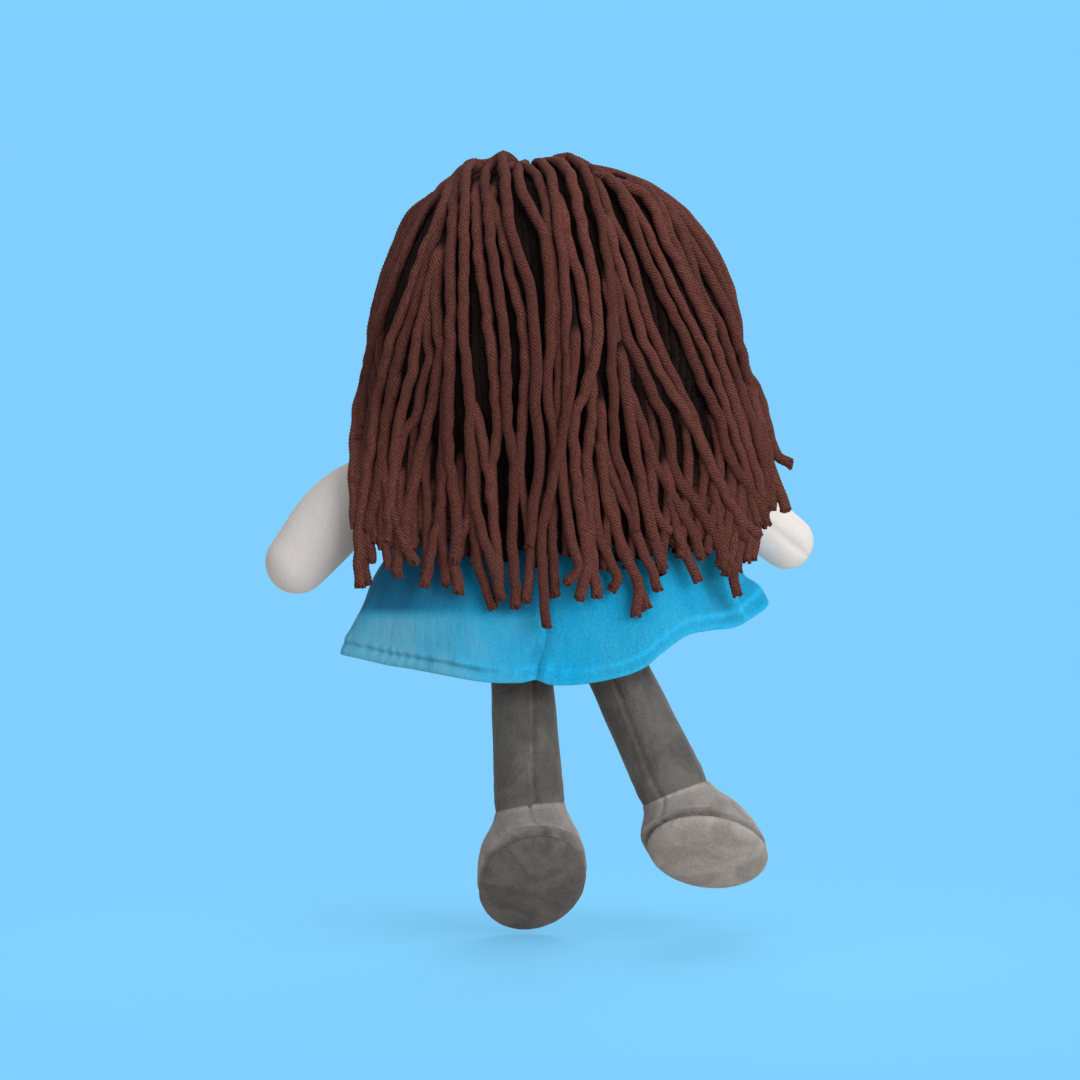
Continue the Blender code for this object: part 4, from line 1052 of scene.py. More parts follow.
def dressOut(angle, fall):
    # soft small shapes on top of the main folds: hem roll, stitched line, seams and dents
    length = dress["top"] - hemHeight(angle)
    up = (1 - fall) * length
    atSides = between(1.0, 0.96, abs(math.cos(angle)))
    sewn = stitchedShare(angle) * atSides
    hem = (0.0010 * atSides * bump1d(up, 0.0018, 0.0022) - 0.0012 * sewn * bump1d(up, dress["stitchUp"], 0.0009)
           + 0.0006 * bump1d(up, dress["stitchUp"] + 0.0026, 0.0020))
    pucker = 0.0004 * math.sin(angle * 70 + 3 * math.sin(angle * 9)) * bump1d(up, dress["stitchUp"], 0.0035)
    aside = (angle - seamAngle(fall)) * dress["arc"]
    centre = -0.0010 * bump1d(aside, 0.0, 0.0035) - 0.0012 * bump1d(aside, 0.0, 0.0011)
    gather = 0.0013 * (bump1d(aside, 0.0040, 0.0024) * bump1d(up, 0.0075, 0.004)
                       - bump1d(aside, -0.0030, 0.0020) * bump1d(up, 0.0120, 0.006))
    soft = 0.0011 * fall * math.sin(11 * angle + 5 * fall) * math.sin(3.1 * angle + 1.3)
    return hem + pucker + centre + gather + soft + cornerFold(angle, fall)[0]


def stitchedShare(angle):
    # the stitched line sinks in on the left of the back, and is pulled to the inside near the right corner
    return 1 - 0.75 * between(0.40, 0.20, math.cos(angle)) * (1 if math.sin(angle) > 0 else 0)


def cornerFold(angle, fall):
    # the fold that runs from under the hair to the right corner: how far it stands out, and its painted highlight on
    # the ridge with painted shade beside it
    if math.sin(angle) < 0:
        return 0.0, 0.0
    place = dressPoint(angle, fall)
    (x0, z0), (x1, z1) = dress["fold0"], dress["fold1"]
    run = ((place.x - x0) * (x1 - x0) + (place.z - z0) * (z1 - z0)) / ((x1 - x0) ** 2 + (z1 - z0) ** 2)
    off = ((place.x - x0) * (z1 - z0) - (place.z - z0) * (x1 - x0)) / math.hypot(x1 - x0, z1 - z0)
    here = between(-0.5, 0.1, run) * between(1.35, 0.85, run)
    return (0.0018 * bump1d(off, 0, 0.0022) - 0.0026 * bump1d(off, -0.0050, 0.0032)) * here, (
        0.22 * bump1d(off, 0.0004, 0.0015) - 0.20 * bump1d(off, -0.0036, 0.0022)) * here


def dressPaintedLight(angle, fall):
    # darker along the stitched line and the seam, as painted shade, lighter on the hem's edge, as painted highlight;
    # also painted shade and highlight at the gathers, lighter sides and the corner fold
    up = (1 - fall) * (dress["top"] - hemHeight(angle))
    aside = (angle - seamAngle(fall)) * dress["arc"]
    sewn = stitchedShare(angle)
    return (-0.45 * (sewn - 0.25) / 0.75 * bump1d(up, dress["stitchUp"], 0.0008)
            + (0.30 - 0.10 * sewn) * bump1d(up, dress["stitchUp"] + 0.0008 + 0.0014 * sewn, 0.0012)
            + 0.20 * bump1d(up, 0.0006, 0.0014) - 0.14 * bump1d(aside, 0.0, 0.0010)
            + 0.55 * between(0.985, 0.9985, abs(math.cos(angle))) * between(0.5, 0.75, fall)
            - 0.25 * bump1d(aside, -0.0030, 0.0016) * bump1d(up, 0.0120, 0.005)
            + 0.20 * bump1d(aside, 0.0045, 0.0018) * bump1d(up, 0.0080, 0.003) + cornerFold(angle, fall)[1])


def outwardFrom(place):
    return Vector((place.x, (place.y - seatY) * 4, 0))


def makeDressPanel(name, startAngle, endAngle, seamAtEnd):
    def shape(across, down):
        fall = (1 - down) ** 0.8
        swing = (seamAngle(fall) - dress["seam"]) * (across if seamAtEnd else 1 - across)
        angle = startAngle + (endAngle - startAngle) * across + swing
        return dressPoint(angle, fall, dressOut(angle, fall)), dressPaintedLight(angle, fall)
    return clothPiece(name, looks["blue"], 100, 96, shape, dress["thickness"], outwardFrom)


def bodiceFall(angle):
    return (dress["top"] - dress["bodiceZ"]) / (dress["top"] - hemHeight(angle))


def makeBodice():
    def shape(across, down):
        angle = math.pi + math.pi * across
        fall = bodiceFall(angle) * 1.06 * (1 - down)
        lift = 0.0010 * between(0.55, 1.0, 1 - down)
        # the bodice's top edge is painted darker, as painted shade
        return dressPoint(angle, fall, dressOut(angle, fall) + lift), -0.25 * between(0.97, 1.0, 1 - down)
    return clothPiece("dressBodice", looks["blue"], 110, 22, shape, dress["thickness"], outwardFrom)


def makeSkirt(name, startAngle, endAngle, under):
    def shape(across, down):
        angle = startAngle + (endAngle - startAngle) * across
        first = bodiceFall(angle) * 0.94
        fall = first + (1 - first) * (1 - down) ** 0.8
        tucked = between(0.20, 0.07, (fall - first) / (1 - first))
        lift = -0.0014 * tucked + under * between(0.9, 0.25, abs(angle - 1.5 * math.pi)) * (1 - tucked)
        return dressPoint(angle, fall, dressOut(angle, fall) + lift), dressPaintedLight(angle, fall)
    return clothPiece(name, looks["blue"], 90, 64, shape, dress["thickness"], outwardFrom)


def cutArmholes(pieces):
    for sign in (1, -1):
        deselectAll()
        middle = 0.7 * arms["shoulder"][0] + dress["armholeDeep"] / 2
        bpy.ops.mesh.primitive_cylinder_add(vertices=48, radius=dress["armhole"], depth=dress["armholeDeep"],
                                            location=(sign * middle, seatY, arms["shoulder"][1]),
                                            rotation=(0, math.pi / 2, 0))
        cutter = bpy.context.object
        bpy.ops.object.transform_apply(location=True, rotation=True, scale=True)
        for piece in pieces:
            take = piece.modifiers.new("armhole", "BOOLEAN")
            take.operation = "DIFFERENCE"
            take.object = cutter
            applyAll(piece)
        bpy.data.objects.remove(cutter, do_unlink=True)


# hair

hair = {
    "crown": 0.2280, "halfWidth": 0.0980, "halfDepth": 0.0690, "radius": 0.00240, "lobe": 0.00020, "pitch": 0.0136,
    "spacing": 0.0016, "plies": 6, "sides": 16, "fallTop": 0.142, "fallBottom": 0.075, "edge": 0.0270,
    "tapeX": 0.0127, "tapeHalf": 0.020, "tapeZ": 0.2165, "open": 0.0034, "dark": 0.0082, "overSkin": 0.0108,
    "sideLight": 0.7, "innerDark": (0.066, 0.086), "perDepth": 0.0009,
    "under": {"count": 70, "reach": 102, "end": 0.046, "edgeUp": 0.016, "vary": 0.006, "deep": 0.0085,
              "thinAbove": 0.135},
    "middle": {"count": 34, "reach": 99, "end": 0.038, "edgeUp": 0.014, "vary": 0.008, "deep": 0.0048,
               "hideAbove": 0.112, "fullFrom": 66, "parting": (13, 25)},
    "side": {"count": 7, "from": 79, "span": 23, "end": 0.100, "deep": 0.0018},
    "lock": {"count": 8, "from": 103, "span": 44, "end": 0.134},
    "fringe": {"counts": (14, 13), "from": 147, "span": 66, "end": 0.176},
    "layers": (0.006, 0.0008),
    "outline": (380, 260, 392, 240, 410, 210, 429, 195, 447, 174, 457, 172, 466, 161, 472, 155, 480, 157, 490, 163.5,
                494, 155, 501, 149, 508.6, 154.5, 512, 164, 521, 159, 535, 156, 547, 156.5, 557.6, 151.4, 568, 150,
                578, 154.5, 586, 160, 594, 165, 602, 170, 613, 171, 625, 175, 639, 179, 649, 186, 655, 193, 666, 201,
                674, 212, 686, 222, 700, 240, 721, 278, 741, 335),
    "widths": ((0.995, 0.16, 0.13), (0.985, 0.303, 0.124), (0.936, 0.504, 0.063), (0.888, 0.6245, 0.07),
               (0.839, 0.709, 0.047),
               (0.791, 0.772, 0.035), (0.743, 0.821, 0.028), (0.694, 0.854, 0.014), (0.646, 0.873, 0.0),
               (0.597, 0.889, 0.0),
               (0.549, 0.918, -0.003), (0.50, 0.951, -0.016), (0.452, 0.976, -0.028), (0.403, 1.0, -0.042),
               (0.35, 0.99, -0.035), (0.25, 0.975, -0.03), (0.13, 0.95, -0.01)),
    "depths": ((0.993, 0.072), (0.982, 0.34), (0.935, 0.62), (0.885, 0.78), (0.80, 0.91), (0.70, 0.965), (0.60, 0.985),
               (0.50, 0.94), (0.42, 0.83), (0.35, 0.71), (0.25, 0.66), (0.13, 0.655)),
}
hairTables = [sorted((row[0] * hair["crown"], row[column] * size) for row in hair[rows])
              for rows, column, size in (("widths", 1, hair["halfWidth"]), ("depths", 1, hair["halfDepth"]),
                                         ("widths", 2, hair["halfWidth"]))]


def hairSection(z, inset):
    halfWidth, halfDepth, shift = (lookup(table, z) for table in hairTables)
    fall = smoothStep((hair["fallTop"] - z) / (hair["fallTop"] - hair["fallBottom"]))
    return max(halfWidth - inset, 0.004), max(halfDepth - inset, 0.001), shift, fall


def hairDepth(x, z, inset):
    halfWidth, halfDepth, shift, fall = hairSection(z, inset)
    across = min(abs(x - shift) / halfWidth, 1.0)
    roundY = halfDepth * math.sqrt(1 - across**2)
    flatY = halfDepth - (halfDepth - hair["edge"]) * across**2
    return roundY + (flatY - roundY) * fall


def hairPoint(angle, z, inset):
    halfWidth, halfDepth, shift, fall = hairSection(z, inset)
    x = shift + halfWidth * math.sin(angle)
    y = hairDepth(x, z, inset)
    if math.cos(angle) < 0:
        y = halfDepth * math.cos(angle) * (1 - fall) + (hair["edge"] - 0.008) * fall
    return doll(x, y, z - inset * between(0.17, 0.225, z))


def howDeep(place):
    # how far a point lies below the hair's outside, where little light comes
    z = min(max(place.z, 0.03), hair["crown"] * 0.995)
    halfWidth, halfDepth, shift, fall = hairSection(z, 0)
    x, y = place.x - shift, place.y - seatY
    slope = math.hypot(x / halfWidth**2, y / halfDepth**2) * 2
    roundDepth = (1 - (x / halfWidth) ** 2 - (y / halfDepth) ** 2) / max(slope, 1e-6)
    flatDepth = min(halfWidth - abs(x), hairDepth(place.x, z, 0) - abs(y))
    below = roundDepth + (flatDepth - roundDepth) * fall
    if place.z > 0.17:
        rise = (crownHeight(place.x + 0.004) - crownHeight(place.x - 0.004)) / 0.008
        below = min(below, (crownHeight(place.x) - place.z) / math.hypot(1, rise))
    if place.z > 0.12 and below > 0.003:
        away = place - doll(0, 0, head["centre"])
        overSkin = away.length - (headPoint(away.normalized()) - doll(0, 0, head["centre"])).length
        below = max(below, hair["overSkin"] - overSkin)
    return below


def headBack(x, z, room):
    # the furthest back that the head reaches at x and z, with room added all round
    rise = abs(z - head["centre"]) / (head["half"][2] + room)
    if rise >= 1:
        return -1.0
    plan = (1 - rise ** head["side"]) ** (1 / head["side"])
    taper = 1 - head["taper"] * (z - head["centre"]) / head["half"][2]
    aside = abs(x) / (head["half"][0] * taper + room)
    if aside >= plan:
        return -1.0
    return (head["half"][1] + room) * (plan ** head["plan"] - aside ** head["plan"]) ** (1 / head["plan"])


def pushOut(place, room):
    # keeps a strand outside the head and outside the dress's back
    centre = doll(0, 0, head["centre"])
    away = place - centre
    skin = (headPoint(away.normalized()) - centre).length + room
    if away.length < skin:
        place = centre + away.normalized() * skin
    if place.z < dress["top"]:
        fall = (dress["top"] - place.z) / (dress["top"] + dress["backDrop"])
        halfWidth = smoothLookup(dressWidths, fall) * dress["halfWidth"]
        halfDepth = smoothLookup(dressDepths, fall) * dress["halfDepth"]
        across = min(abs(place.x) / halfWidth, 1.0)
        lowest = seatY + dress["shiftBack"] * fall + halfDepth * math.sqrt(1 - across**2) + room + 0.001
        if across < 1 and place.y > seatY:
            place = Vector((place.x, max(place.y, lowest), place.z))
    return place


def rootOf(x, dice):
    aside = min(max((x - hair["tapeX"]) * 0.36, -hair["tapeHalf"]), hair["tapeHalf"])
    return hair["tapeX"] + aside + dice.uniform(-0.001, 0.001)


def tracedRoute(pixels, under, dice):
    # follows the traced pixels down the hair's surface, and starts on the tape over the crown
    inset = hair["radius"] + under
    places = []
    for px, py in pixels:
        y = seatY + 0.02
        for _ in range(4):
            place = photoPoint(px, py, y)
            y = seatY + hairDepth(place.x, place.z, inset)
            y = max(y, pushOut(Vector((place.x, y, place.z)), 0.0).y,
                    seatY + headBack(place.x, place.z, 0.0078 - under))
        places.append(photoPoint(px, py, y))
    thinAbove = 1.0
    if pixels[0][1] < 235:
        places[0].z -= hair["radius"]
    first = places[0]
    rootX = rootOf(first.x, dice)
    start = [doll(rootX, 0.0, hair["tapeZ"] - 0.002),
             doll(rootX + (first.x - rootX) * 0.12, 0.001, hair["tapeZ"] + 0.006)]
    if abs(first.x - rootX) > 0.012:
        for share in (0.4, 0.72):
            x = rootX + (first.x - rootX) * share
            start.append(doll(x, -0.001, crownHeight(x) - inset - 0.0008))
    if places[0].z < 0.1 or pixels[0][1] > 235:
        start = hiddenStart(places[0], under, dice)
        thinAbove = places[0].z
    return start + places, thinAbove


crownTable = sorted((photoPoint(px, py, seatY).x, photoPoint(px, py, seatY).z)
                    for px, py in zip(hair["outline"][::2], hair["outline"][1::2]))


def crownHeight(x):
    # the hair's outline over the crown
    return lookup(crownTable, x)


def hiddenStart(first, under, dice):
    # a strand that comes up from behind others starts at the tape too, and runs beneath them
    start = []
    middle = hairSection(first.z, 0)[2]
    share = (first.x - middle) / hairSection(first.z, 0)[0]
    angle = math.asin(min(max(share, -0.99), 0.99))
    z = hair["crown"] * 0.985
    rootX = rootOf(first.x, dice)
    start.append(doll(rootX, 0.0, hair["tapeZ"] - 0.002))
    while z > first.z + 0.022:
        start.append(pushOut(hairPoint(angle, z, hair["radius"] + under + 0.0075), 0.0004))
        z -= 0.022
    return start


def looseRoute(angle, endZ, under, dice, sway=1.0, hideAbove=1.0):
    inset = hair["radius"] + under
    room = 0.0006 if under > 0.007 else 0.0032
    sway *= dice.uniform(-1, 1)
    root = doll(rootOf(hairPoint(angle, 0.21, inset).x, dice), math.cos(angle) * 0.002, hair["tapeZ"] - 0.002)
    route = [root]
    z = hair["crown"] * 0.988
    while z > endZ + 0.008:
        turn = angle + math.radians(2.2) * sway * math.sin((0.228 - z) * 26 + sway * 3)
        deep = 0.0060 * between(hideAbove - 0.02, hideAbove, z)
        place = hairPoint(turn, z, inset + deep + 0.0006 * math.sin(z * 90 + sway * 9))
        route.append(pushOut(place, max(room - deep, 0.0004)))
        z -= 0.006 if z > 0.2 else 0.016
    route.append(pushOut(hairPoint(angle, endZ, inset), room))
    return route, hideAbove


tracedStrands = (
    # each strand: how deep it lies, in millimetres, then its pixels from the crown to its tip
    (4, (432, 194, 414, 211, 402, 231, 390, 264, 384, 283, 378, 310, 374, 331, 365, 380, 360, 398, 356, 436, 354,
        480)),
    (3.5, (445, 186, 430, 200, 416, 222, 408, 235, 402, 249, 396, 268, 389, 290, 382, 318, 374, 350, 368, 385, 362,
        420, 358, 470, 362, 540, 366, 582)),
    (3, (453, 174, 441, 190, 424, 214, 409, 245, 401, 264, 388, 298, 374, 337, 365, 379, 359, 398, 355, 428, 353, 470,
        355, 525)),
    (0, (451, 180, 447, 197, 436, 226, 424, 252, 415, 279, 403, 312, 392, 340, 384, 375, 378, 398, 373, 439, 369, 459,
        364, 495, 360, 523, 359, 554, 360, 586)),
    (1, (452, 181, 445, 205, 437, 232, 428, 262, 420, 290, 411, 320, 401, 350, 394, 380, 388, 410, 384, 445, 379, 480,
        372, 510, 367, 529)),
    (2, (444, 249, 438, 274, 436, 302, 439, 331, 441, 350, 437, 376, 433, 400, 427, 426, 419, 459, 411, 495, 405, 519,
        407, 548)),
    (1, (440, 250, 430, 283, 424, 312, 417, 337, 413, 369, 405, 398, 398, 430, 394, 460, 393, 475, 388, 520)),
    (3, (430, 310, 428, 337, 430, 360, 422, 388, 417, 417, 405, 430, 398, 459, 392, 500, 388, 540)),
    (2, (398, 372, 392, 400, 386, 430, 383, 459, 389, 495, 397, 523, 407, 548, 415, 562)),
    (4, (402, 470, 402, 530, 399, 554, 397, 574)),
    (3, (446, 460, 440, 515, 434, 540, 430, 560, 425, 584)),
    (0, (455, 187, 453, 222, 450, 264, 451, 302, 450, 350, 449, 388, 448, 440, 452, 479, 456, 511, 457, 535, 454,
        560)),
    (3, (446, 380, 444, 440, 442, 489, 441, 519, 443, 548, 447, 584)),
    (4, (474, 440, 470, 505, 466, 523, 460, 538, 453, 556, 455, 568, 459, 592)),
    (0, (474, 158, 466, 172, 465, 197, 464, 235, 464, 274, 463, 312, 464, 340, 467, 369, 470, 400, 470, 440, 472, 479,
        476, 509, 484, 538, 494, 568, 502, 598)),
    (2, (471, 398, 474, 407, 480, 428, 486, 459, 492, 489, 494, 529, 498, 558, 499, 590)),
    (4, (474, 500, 478, 560, 484, 580, 492, 606)),
    (2, (476, 187, 477, 216, 478, 245, 481, 274, 486, 302, 489, 331, 493, 360, 496, 398, 498, 430, 492, 465, 490,
        500)),
    (0, (485, 172, 488, 207, 491, 245, 496, 274, 500, 302, 505, 340, 506, 379, 508, 428, 514, 459, 514, 489, 512, 538,
        514, 568, 516, 606)),
    (2, (492, 190, 497, 216, 503, 237, 508, 260, 512, 283, 518, 302, 522, 321, 526, 360, 524, 400, 521, 440, 520, 479,
        528, 519, 531, 555, 526, 600)),
    (-1, (502, 151, 505, 178, 507, 207, 510, 226, 518, 254, 528, 279, 533, 312, 535, 340, 537, 369, 535, 398, 538,
        430, 540, 459, 536, 489, 532, 519, 530, 545)),
    (1, (518, 168, 522, 193, 533, 212, 543, 233, 548, 260, 550, 293, 551, 321, 550, 350, 547, 379, 549, 410, 556, 440,
        554, 480)),
    (3, (524, 161, 535, 174, 543, 193, 547, 212, 549, 240, 556, 290, 559, 340, 558, 400, 556, 440, 551, 485)),
    (-2, (575, 330, 572, 380, 567, 410, 559, 449, 551, 489, 542, 529, 542, 558, 544, 598, 546, 625)),
    (0, (543, 159, 552, 180, 556, 207, 560, 237, 564, 268, 566, 302, 567, 340, 568, 369, 567, 407, 562, 440, 561, 459,
        565, 499, 571, 538, 579, 568, 567, 582)),
    (4, (551, 500, 553, 560, 555, 594)),
    (2, (560, 200, 566, 237, 573, 260, 581, 283, 585, 312, 589, 340, 591, 379, 593, 407, 590, 435, 587, 459, 589, 519,
        593, 568, 597, 596)),
    (0, (556, 157, 568, 172, 575, 193, 581, 222, 587, 249, 593, 275, 596, 302, 598, 331, 594, 360, 585, 390, 574, 420,
        575, 459, 579, 499, 585, 538, 587, 568, 579, 598)),
    (0, (570, 153, 585, 172, 594, 197, 602, 222, 606, 252, 610, 275, 612, 302, 612, 331, 612, 369, 614, 398, 614, 428,
        617, 457, 630, 492, 636, 530)),
    (3, (592, 470, 597, 529, 607, 554, 617, 578, 613, 588)),
    (2, (600, 440, 607, 499, 615, 523, 625, 554, 638, 582, 636, 614)),
    (3, (610, 480, 620, 545, 633, 572, 646, 606)),
    (1, (600, 400, 604, 448, 617, 486, 631, 515, 640, 545, 650, 566, 658, 589)),
    (1, (620, 350, 627, 400, 633, 438, 640, 477, 648, 515, 656, 545, 663, 566)),
    (4, (648, 440, 652, 496, 656, 515, 669, 532)),
    (2, (605, 280, 615, 330, 622, 370, 632, 400, 642, 425, 650, 454, 663, 477, 679, 507, 694, 534, 701, 557)),
    (3, (612, 270, 623, 325, 633, 350, 644, 373, 654, 398, 667, 423, 675, 473, 694, 500, 705, 519, 719, 544, 723,
        566)),
    (4, (664, 460, 675, 520, 682, 544, 698, 580)),
    (4, (712, 480, 722, 545, 732, 566, 736, 593)),
    (1, (607, 215, 616, 256, 625, 283, 635, 312, 642, 337, 654, 360, 667, 384, 682, 407, 694, 428, 709, 461, 723, 490,
        738, 515, 757, 534)),
    (2, (598, 180, 612, 222, 625, 245, 633, 268, 642, 302, 652, 331, 665, 360, 679, 388, 694, 420, 713, 470, 732, 505,
        745, 538)),
    (1.5, (600, 172, 607, 176, 618, 187, 627, 198, 635, 211, 643, 223, 649, 235, 655, 250, 662, 264, 668, 277, 674,
        290, 681, 304, 688, 318, 696, 334, 705, 352, 716, 380, 726, 410, 736, 440, 746, 470, 752, 500, 757, 522)),
    (0, (606, 172, 621, 193, 633, 222, 642, 249, 654, 275, 669, 306, 682, 331, 692, 356, 705, 388, 719, 417, 728, 454,
        744, 480, 757, 500, 767, 524)),
    (1, (623, 180, 644, 195, 656, 214, 665, 241, 679, 264, 690, 289, 702, 314, 713, 340, 723, 369, 732, 398, 738, 417,
        747, 445, 757, 475, 765, 505)),
    (2, (664, 205, 679, 230, 690, 260, 698, 287, 705, 302, 719, 325, 728, 352, 736, 375, 744, 404, 753, 425, 760, 450,
        766, 480, 764, 520)),
    (1.5, (655, 195, 667, 207, 676, 221, 686, 237, 695, 251, 702, 264, 709, 276, 715, 288, 722, 301, 728, 314, 733,
        328, 738, 345, 744, 368, 752, 395, 760, 425, 767, 452, 772, 480, 771, 508)),
    (1, (636, 181, 646, 189, 654, 198, 660, 208, 665, 220, 669, 233, 675, 246, 681, 260, 688, 276, 696, 294, 704, 312,
        712, 332)),
    (3, (670, 206, 684, 222, 702, 245, 717, 274, 728, 298, 736, 321, 740, 350, 744, 363, 752, 390, 759, 438, 767,
        457)),
    (1, (740, 345, 744, 369, 755, 386, 763, 407, 768, 428, 776, 454, 790, 463)),
    (2, (748, 375, 753, 400, 760, 430, 768, 461, 776, 482, 786, 509)),
)


def fray(mesh, line, radius, number, dice):
    # the plies come apart where the strand is cut
    onward = (line[-1] - line[-3]).normalized()
    aside = onward.orthogonal().normalized()
    up = onward.cross(aside)
    for ply in range(hair["plies"]):
        turn = math.tau * (ply + dice.uniform(-0.2, 0.2)) / hair["plies"]
        out = aside * math.cos(turn) + up * math.sin(turn)
        start = line[-1] - onward * 0.0022 + out * radius * 0.56
        reach = dice.uniform(0.0026, 0.0040)
        splay = dice.uniform(0.02, 0.32)
        path = [start + (onward * share + out * splay * share**2) * reach for share in (0.0, 0.35, 0.7, 1.0)]
        tubeInto(mesh, path, lambda share: radius * (0.46 - 0.10 * share), 6, 0.0, 0.0, number, 0.0005, True, dice)


def strandsPiece(name, routes, seed, inner=False):
    dice = random.Random(seed)
    turn = -math.tau / hair["pitch"]
    spacing, sides, lobe = (0.0030, 8, 0.0) if inner else (hair["spacing"], hair["sides"], hair["lobe"])

    hidden = []

    def build(mesh):
        for number, (route, thinAbove) in enumerate(routes):
            radius = hair["radius"] * (1.2 if inner else dice.uniform(0.92, 1.10))
            thinBy = 0.2 if inner else 0.5
            line = curveThrough(route, spacing)
            waves = [(dice.uniform(240, 620), dice.uniform(0, 6.3), dice.uniform(0.00010, 0.00022)) for _ in range(4)]
            for step, place in enumerate(line):
                run = step * spacing
                place.x += sum(size * math.sin(run * rate + begin) for rate, begin, size in waves[:2])
                place.y += sum(size * math.sin(run * rate + begin) for rate, begin, size in waves[2:])
            swell = dice.uniform(0, 6.3)

            def thick(share):
                thin = between(thinAbove - 0.004, thinAbove + 0.008, line[round(share * (len(line) - 1))].z)
                return radius * (1 - thinBy * thin) * (1 + 0.05 * math.sin(share * 31 + swell) * math.sin(share * 13))
            tubeInto(mesh, line, thick, sides, lobe, turn, number, 0.0014, True, dice)
            low, high = hair["innerDark"] if inner else (thinAbove - 0.004, thinAbove + 0.004)
            for place in line:
                hidden.extend([between(low, high, place.z)] * sides)
            if not inner:
                fray(mesh, line, radius, number, dice)
            hidden.extend([0.0] * (len(mesh.verts) - len(hidden)))
    piece = tubePiece(name, looks["yarn"], build)
    # painted shade on the yarn by how deep it lies and whether other strands cover it: hidden starts and the under
    # layer above innerDark fully dark, and less painted shade at the sides by sideLight
    dark = []
    for vert, covered in zip(piece.data.vertices, hidden):
        aside = math.degrees(math.atan2(abs(vert.co.x), vert.co.y - seatY))
        deep = 1.0 if covered > 0.99 else max(covered, between(hair["open"], hair["dark"], howDeep(vert.co)))
        dark.append(deep * (1 - hair["sideLight"] * between(64, 80, aside) * between(0.085, 0.11, vert.co.z)))
    keepValues(piece, "buriedPaintedShade", dark)
    return piece


def makeHair():
    dice = random.Random(11)
    traced = []
    for depth, numbers in tracedStrands:
        pixels = list(zip(numbers[::2], numbers[1::2]))
        traced.append(tracedRoute(pixels, max(depth, -1) * hair["perDepth"], dice))

    def lowEnd(layer, angle):
        edge = abs(angle) / math.radians(100)
        return layer["end"] + layer["edgeUp"] * edge**2 + dice.uniform(-layer["vary"], layer["vary"])

    under, middle = [], []
    layer = hair["under"]
    for number in range(layer["count"]):
        angle = math.radians(-layer["reach"] + 2 * layer["reach"] * (number + 0.5) / layer["count"])
        route = looseRoute(angle, lowEnd(layer, angle), layer["deep"], dice, 0.15)[0]
        under.append((route, layer["thinAbove"]))
    layer = hair["middle"]
    for number in range(layer["count"]):
        angle = math.radians(-layer["reach"] + 2 * layer["reach"] * (number + 0.5) / layer["count"])
        angle += dice.uniform(-0.02, 0.02)
        if layer["parting"][0] < math.degrees(angle) < layer["parting"][1]:
            continue
        end = lowEnd(layer, angle)
        hideAbove = layer["hideAbove"] + dice.uniform(-0.01, 0.01)
        full = abs(angle) > math.radians(layer["fullFrom"])
        middle.append(looseRoute(angle, end, layer["deep"], dice, 1.0, 1.0 if full else hideAbove))
    layer, sideDice = hair["side"], random.Random(17)
    for number in range(2 * layer["count"]):
        sign = 1 if number % 2 else -1
        angle = sign * math.radians(layer["from"] + layer["span"] * (number // 2 + 0.5) / layer["count"])
        angle += sideDice.uniform(-0.012, 0.012)
        end = layer["end"] + sideDice.uniform(-0.005, 0.005)
        middle.append(looseRoute(angle, end, layer["deep"], sideDice, 0.6))
    pieces = [strandsPiece("hairBackOuterLeft", traced[:24], 1), strandsPiece("hairBackOuterRight", traced[24:], 4),
              strandsPiece("hairBackMiddle", middle, 2), strandsPiece("hairBackUnder", under, 3, True)]
    locks = {}
    for side, sign in (("Left", 1), ("Right", -1)):
        routes, lock = [], hair["lock"]
        for deep, shift in zip(hair["layers"], (1.0, 0.5)):
            for number in range(lock["count"]):
                angle = sign * math.radians(lock["from"] + lock["span"] * (number + shift) / lock["count"])
                angle += dice.uniform(-0.02, 0.02)
                routes.append(looseRoute(angle, lock["end"] + dice.uniform(-0.006, 0.006), deep, dice, 0.4))
        locks[side] = strandsPiece("hair" + side + "Lock", routes, 5 + sign)
    routes, fringe = [], hair["fringe"]
    for deep, count in zip(hair["layers"], fringe["counts"]):
        for number in range(count):
            angle = math.radians(fringe["from"] + fringe["span"] * (number + 0.5) / count) + dice.uniform(-0.02, 0.02)
            routes.append(looseRoute(angle, fringe["end"] + dice.uniform(-0.005, 0.005), deep, dice))
    return pieces, locks, strandsPiece("hairFringe", routes, 9)


# face, sewn in plain satin stitch

face = {"eyeX": 0.028, "eyeZ": 0.139, "eyeHalf": (0.0052, 0.0068), "rowStep": 0.00062, "thread": 0.00042,
        "mouthZ": 0.117, "mouthHalf": 0.0100, "mouthCurve": 0.004, "mouthThick": 0.0016, "slant": 0.0003}


def stitch(mesh, start, end, number):
    line = []
    for step in range(7):
        share = step / 6
        x, z = start[0] + (end[0] - start[0]) * share, start[1] + (end[1] - start[1]) * share
        out = 0.0010 * math.sin(math.pi * share) ** 0.5
        line.append(Vector((x, headFront(x, z, out), z)))
    tubeInto(mesh, line, face["thread"], 6, 0, 0, number)


def makeEye(name, sign):
    def build(mesh):
        halfX, halfZ = face["eyeHalf"]
        count = int(2 * halfZ / face["rowStep"])
        for row in range(1, count):
            z = -halfZ + 2 * halfZ * row / count
            reach = halfX * math.sqrt(1 - (z / halfZ) ** 2)
            x, z = sign * face["eyeX"], face["eyeZ"] + z
            stitch(mesh, (x - reach, z - face["slant"]), (x + reach, z + face["slant"]), row)
    return tubePiece(name, looks["eyeThread"], build)


